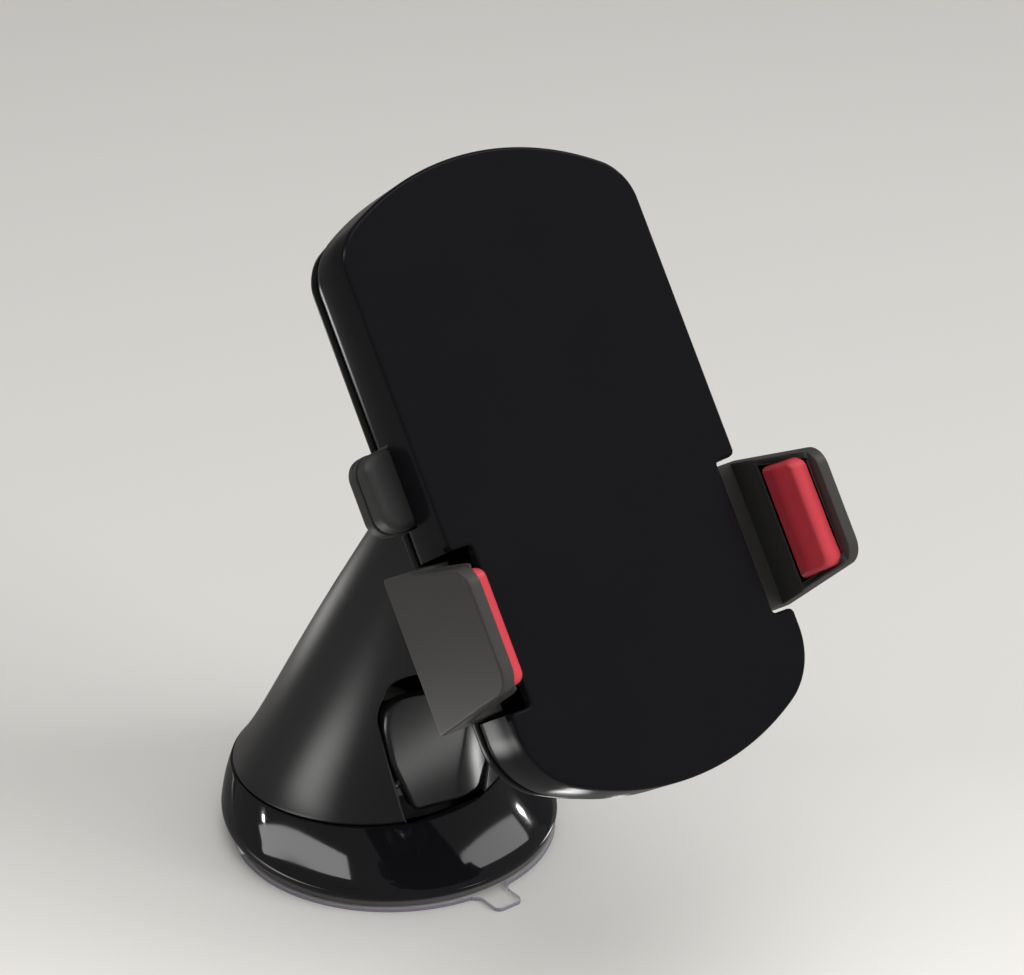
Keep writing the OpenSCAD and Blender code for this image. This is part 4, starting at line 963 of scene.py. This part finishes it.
class HOLDER_OT_base(bpy.types.Operator):
    """Base ring, suction cup and gel pad"""
    bl_idname = "holder.base"
    bl_label = "Suction base"

    def execute(self, context):
        s, c = sizes(), colours()
        gloss = moulded("Piano black", c.gloss, 0.06, 900.0, 0.000002, 0.03)
        settle(ring_skin(s).build("ring_skin"), "base", "gloss", gloss, "base_ring")
        rubber = moulded("Cup rubber", c.cup, 0.42, 1800.0, 0.00002, 0.12)
        cup = cup_skin(s).build("cup_rubber")
        settle(cup, "base", "cup", rubber, "suction_cup")
        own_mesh(cup)
        settle(pad_skin(s).build("gel_disc"), "base", "gel", gel_finish(c), "gel_pad")
        return {"FINISHED"}


class HOLDER_OT_lever(bpy.types.Operator):
    """Locking lever with its finger scoop"""
    bl_idname = "holder.lever"
    bl_label = "Locking lever"

    def execute(self, context):
        mat = moulded("Lever black", colours().tower, 0.25, 2600.0, 0.00002, 0.05)
        settle(lever_skin(sizes()).build("lever_skin"), "lever", "satin", mat, "lever")
        return {"FINISHED"}


class HOLDER_OT_joint(bpy.types.Operator):
    """Ball stud and collar nut"""
    bl_idname = "holder.joint"
    bl_label = "Ball joint"

    def execute(self, context):
        s, c = sizes(), colours()
        steel = moulded("Turned steel", c.steel, 0.24, 1500.0, 0.000003, 0.1, metallic=1.0)
        settle(stud_skin(s).build("stud_skin", tilted(s, s.stud_lean)), "stud", "steel", steel, "ball_stud")
        nut = moulded("Nut black", c.tower, 0.36, 2200.0, 0.00002, 0.06)
        place = tilted(s, 90 - s.cradle_lean)
        settle(nut_skin(s).build("nut_skin", place), "collar", "satin", nut, "collar_nut")
        return {"FINISHED"}


class HOLDER_OT_cradle(bpy.types.Operator):
    """Front and rear covers of the cradle"""
    bl_idname = "holder.cradle"
    bl_label = "Cradle"

    def execute(self, context):
        s = sizes()
        gloss = moulded("Cover black", colours().gloss, 0.16, 900.0, 0.000002, 0.05, 0.12)
        place = cradle_place(s)
        settle(front_skin(s).build("front_skin", place), "cradle", "gloss", gloss, "front_cover")
        settle(rear_skin(s).build("rear_skin", place), "cradle", "gloss", gloss, "rear_cover")
        return {"FINISHED"}


class HOLDER_OT_jaws(bpy.types.Operator):
    """Two jaws with their rubber pads"""
    bl_idname = "holder.jaws"
    bl_label = "Jaws and pads"

    def execute(self, context):
        s, c = sizes(), colours()
        grey = moulded("Jaw grey", c.jaw, 0.42, 2400.0, 0.00003, 0.08, 0.35)
        coral = moulded("Coral rubber", c.rubber, 0.42, 1400.0, 0.00002, 0.1)
        place = cradle_place(s)
        for side, turn in (("right", place), ("left", mirrored(place))):
            settle(jaw_skin(s).build(side + "_jaw_skin", turn), side + "_grip", "matte", grey, side + "_jaw")
            pad = pad_rubber_skin(s).build(side + "_pad_rubber", turn)
            settle(pad, side + "_grip", "coral", coral, side + "_pad")
        return {"FINISHED"}


class HOLDER_OT_button(bpy.types.Operator):
    """Release button on the cradle's left side"""
    bl_idname = "holder.button"
    bl_label = "Release button"

    def execute(self, context):
        s = sizes()
        mat = moulded("Button black", colours().button, 0.5, 1500.0, 0.00006, 0.1)
        piece = button_skin(s).build("button_skin", mirrored(cradle_place(s)))
        settle(piece, "button", "button", mat, "release_button")
        return {"FINISHED"}


class HOLDER_OT_works(bpy.types.Operator):
    """Finishes for the pins, screws, springs and inner parts that keep their CAD form"""
    bl_idname = "holder.works"
    bl_label = "Inner works"

    def execute(self, context):
        c = colours()
        steel = moulded("Plain steel", c.steel, 0.3, 1200.0, 0.000004, 0.12, metallic=1.0)
        nylon = moulded("Nylon", c.nylon, 0.5, 1600.0, 0.00002, 0.08)
        for name in ("base_screws", "cover_screws", "lever_pin", "pull_yoke", "stem_nut", "pinion_axle",
                     "opening_spring", "button_spring", "latch_pawl", "pawl_pin"):
            paint(NODES[name], steel)
        for name in ("mounting_plate", "cup_stem", "pinion"):
            paint(NODES[name], nylon)
        return {"FINISHED"}


class HOLDER_OT_studio(bpy.types.Operator):
    """Pale floor that curves up into a backdrop, soft lamps and the camera"""
    bl_idname = "holder.studio"
    bl_label = "Studio"

    def execute(self, context):
        scene = context.scene
        scene.view_settings.view_transform = "Standard"
        floor = studio_floor()
        paint(floor, floor_finish(colours().floor))
        studio_lamps()
        studio_camera(scene)
        return {"FINISHED"}


def studio_floor():
    """Flat near the holder. Far behind it the sheet bends up on a quarter circle and then goes straight up;
    it is turned to face the camera."""
    bend, r = 2.2, 1.6
    s, across = np.meshgrid(np.linspace(-3.0, 6.0, 91), np.linspace(-5, 5, 41), indexing="ij")
    arcs = np.clip(s - bend, 0, r * math.pi / 2)
    rest = np.maximum(s - bend - r * math.pi / 2, 0)
    depth = np.minimum(s, bend) + r * np.sin(arcs / r)
    height = r * (1 - np.cos(arcs / r)) + rest
    a = math.radians(VIEW_TURN)
    x = depth * math.sin(a) + across * math.cos(a)
    y = depth * math.cos(a) - across * math.sin(a)
    return Skin().grid(np.stack([x, y, height], -1) / MM).build("studio_floor")


def floor_finish(colour):
    """Paper with painted light and shade: it is painted paler towards the viewer, up to a short way in front,
    and darker far behind. In mirror images only, it has painted shade and carries glowing patches, painted
    highlights: round patches whose light falls as the square of one less the squared distance over the
    squared radius."""
    f = Finish("Studio paper", Specular_IOR_Level=0.25, Emission_Strength=24.0)
    f.material.cycles.emission_sampling = "NONE"
    haze = f.noise(1.6, 2.0)
    x, y = (f.value("ShaderNodeSeparateXYZ", key, Vector=f.place) for key in ("X", "Y"))
    depth = x * VIEW_X + y * VIEW_Y
    # The paper is painted paler near the viewer and darker far behind, as painted light and shade; in mirror
    # images it is painted darker still
    paper, painted_light_near, darker, cloud, painted_mirror_shade = 0.78, 0.20, 0.06, 0.02, 0.68
    near = ((0.03 - depth) / 0.10).clamped() * ((depth + 0.40) / 0.25).clamped()
    far = ((depth - 0.10) / 0.5).clamped()
    mirrored = f.value("ShaderNodeLightPath", "Is Glossy Ray")
    # The tone is the paper's own random haze plus the painted light and shade
    tone = paper + near * painted_light_near - far * darker + haze * cloud
    f.feed("Base Color", f.blend((tone * (1.0 - mirrored * painted_mirror_shade)).clamped(), (0, 0, 0), colour))

    # A glowing patch painted on the floor: painted light for highlights that only mirror images show
    def glow_patch(at, r, level):
        dx, dy = x - at[0], y - at[1]
        return (1.0 - (dx * dx + dy * dy) / (r * r)).clamped() ** 2 * level

    glow = glow_patch(*GLOW_PATCHES[0])
    for spec in GLOW_PATCHES[1:]:
        glow = glow + glow_patch(*spec)
    # The patches glow only in mirror images, as painted highlights
    f.feed("Emission Color", f.blend((glow * mirrored).clamped(), (0, 0, 0), (1, 0.99, 0.97)))
    f.feed("Roughness", (haze * 0.1 + 0.5).clamped())
    f.bump(f.noise(400.0, 2.0), 0.05, 0.00005)
    return f.material


def lamp(name, toward, distance, size, radiance, along=(1, 0, 0), aim=(0, -20, 40), mirrored=True, soft=True):
    """Area lamp seen from a point of the holder in a direction, with its long side along another; its
    power follows from its size and radiance. A lamp can be left out of mirror images, or of soft light."""
    data = bpy.data.lights.new(name, "AREA")
    data.shape = "RECTANGLE"
    data.size, data.size_y = size
    data.energy = radiance * math.pi * size[0] * size[1]
    item = bpy.data.objects.new(name, data)
    back = Vector(toward).normalized()
    across = (Vector(along) - back * back.dot(Vector(along))).normalized()
    item.location = Vector(aim) * MM + back * distance
    item.rotation_euler = Matrix((across, back.cross(across), back)).transposed().to_euler()
    item.visible_glossy, item.visible_diffuse = mirrored, soft
    bpy.context.scene.collection.objects.link(item)


def studio_lamps():
    """World light that is weaker in mirror images, two soft lamps that no mirror image shows, and four
    that only mirror images show: two strips and two sparks on the ring."""
    world = bpy.data.worlds.new("Studio air")
    bpy.context.scene.world = world
    world.use_nodes = True
    tree = world.node_tree
    tint = tree.nodes.new("ShaderNodeMix")
    tint.data_type = "RGBA"
    tint.inputs[6].default_value = AIR
    tint.inputs[7].default_value = AIR_MIRRORED
    tree.links.new(tree.nodes.new("ShaderNodeLightPath").outputs["Is Glossy Ray"], tint.inputs[0])
    tree.links.new(tint.outputs[2], tree.nodes["Background"].inputs["Color"])
    lamp("Overhead", (-0.04, -0.16, 1), 1.6, (1.6, 1.6), 1.9, mirrored=False)
    lamp("Front fill", (0.42, -0.80, 0.50), 2.2, (1.5, 1.0), 6.3, mirrored=False)
    lamp("Left strip", (-0.62, 0.25, 0.745), 0.8, (0.82, 0.135), 4.4, (0.339, -0.755, 0.558), (-28, -9, 8),
         soft=False)
    lamp("Right strip", (0.55, -0.27, 0.79), 0.9, (0.80, 0.16), 2.9, (0.82, 0.416, -0.39), (2, -29, 7),
         soft=False)
    lamp("Left spark", (-0.63, 0.57, 0.53), 1.0, (0.025, 0.025), 200, aim=(-29, 4, 13), soft=False)
    lamp("Right spark", (0.86, 0.04, 0.52), 1.0, (0.03, 0.03), 200, aim=(16, -23, 9), soft=False)


def studio_camera(scene):
    """Camera fitted to the photograph: its lens, its place, and the direction in which it looks."""
    data = bpy.data.cameras.new("Camera")
    data.lens, data.sensor_width, data.sensor_fit = 106.9, 36.0, "HORIZONTAL"
    data.clip_end = 50
    cam = bpy.data.objects.new("Camera", data)
    scene.collection.objects.link(cam)
    cam.location = (-0.311, -0.451, 0.343)
    forward = Vector((0.544, 0.717, -0.435)).normalized()
    right = forward.cross(Vector((0, 0, 1))).normalized()
    up = right.cross(forward)
    cam.rotation_euler = Matrix((right, up, -forward)).transposed().to_euler()
    scene.camera = cam


class HOLDER_PT_panel(bpy.types.Panel):
    """Builders, sizes and colours of the phone holder"""
    bl_label = "Phone Holder"
    bl_space_type = "VIEW_3D"
    bl_region_type = "UI"
    bl_category = "Phone Holder"

    def draw(self, context):
        for step in STEPS:
            self.layout.operator(step.bl_idname)
        for group in (context.scene.holder_sizes, context.scene.holder_colours):
            box = self.layout.box()
            for key in group.__class__.__annotations__:
                box.prop(group, key)


STEPS = (HOLDER_OT_tower, HOLDER_OT_base, HOLDER_OT_lever, HOLDER_OT_joint, HOLDER_OT_cradle, HOLDER_OT_jaws,
         HOLDER_OT_button, HOLDER_OT_works, HOLDER_OT_studio)
CLASSES = (HolderSizes, HolderColours) + STEPS + (HOLDER_PT_panel,)


def register():
    for item in CLASSES:
        bpy.utils.register_class(item)
    bpy.types.Scene.holder_sizes = bpy.props.PointerProperty(type=HolderSizes)
    bpy.types.Scene.holder_colours = bpy.props.PointerProperty(type=HolderColours)


def unregister():
    del bpy.types.Scene.holder_colours
    del bpy.types.Scene.holder_sizes
    for item in reversed(CLASSES):
        bpy.utils.unregister_class(item)


def main():
    register()
    for step in STEPS:
        group, name = step.bl_idname.split(".")
        getattr(getattr(bpy.ops, group), name)()


if __name__ == "__main__":
    main()
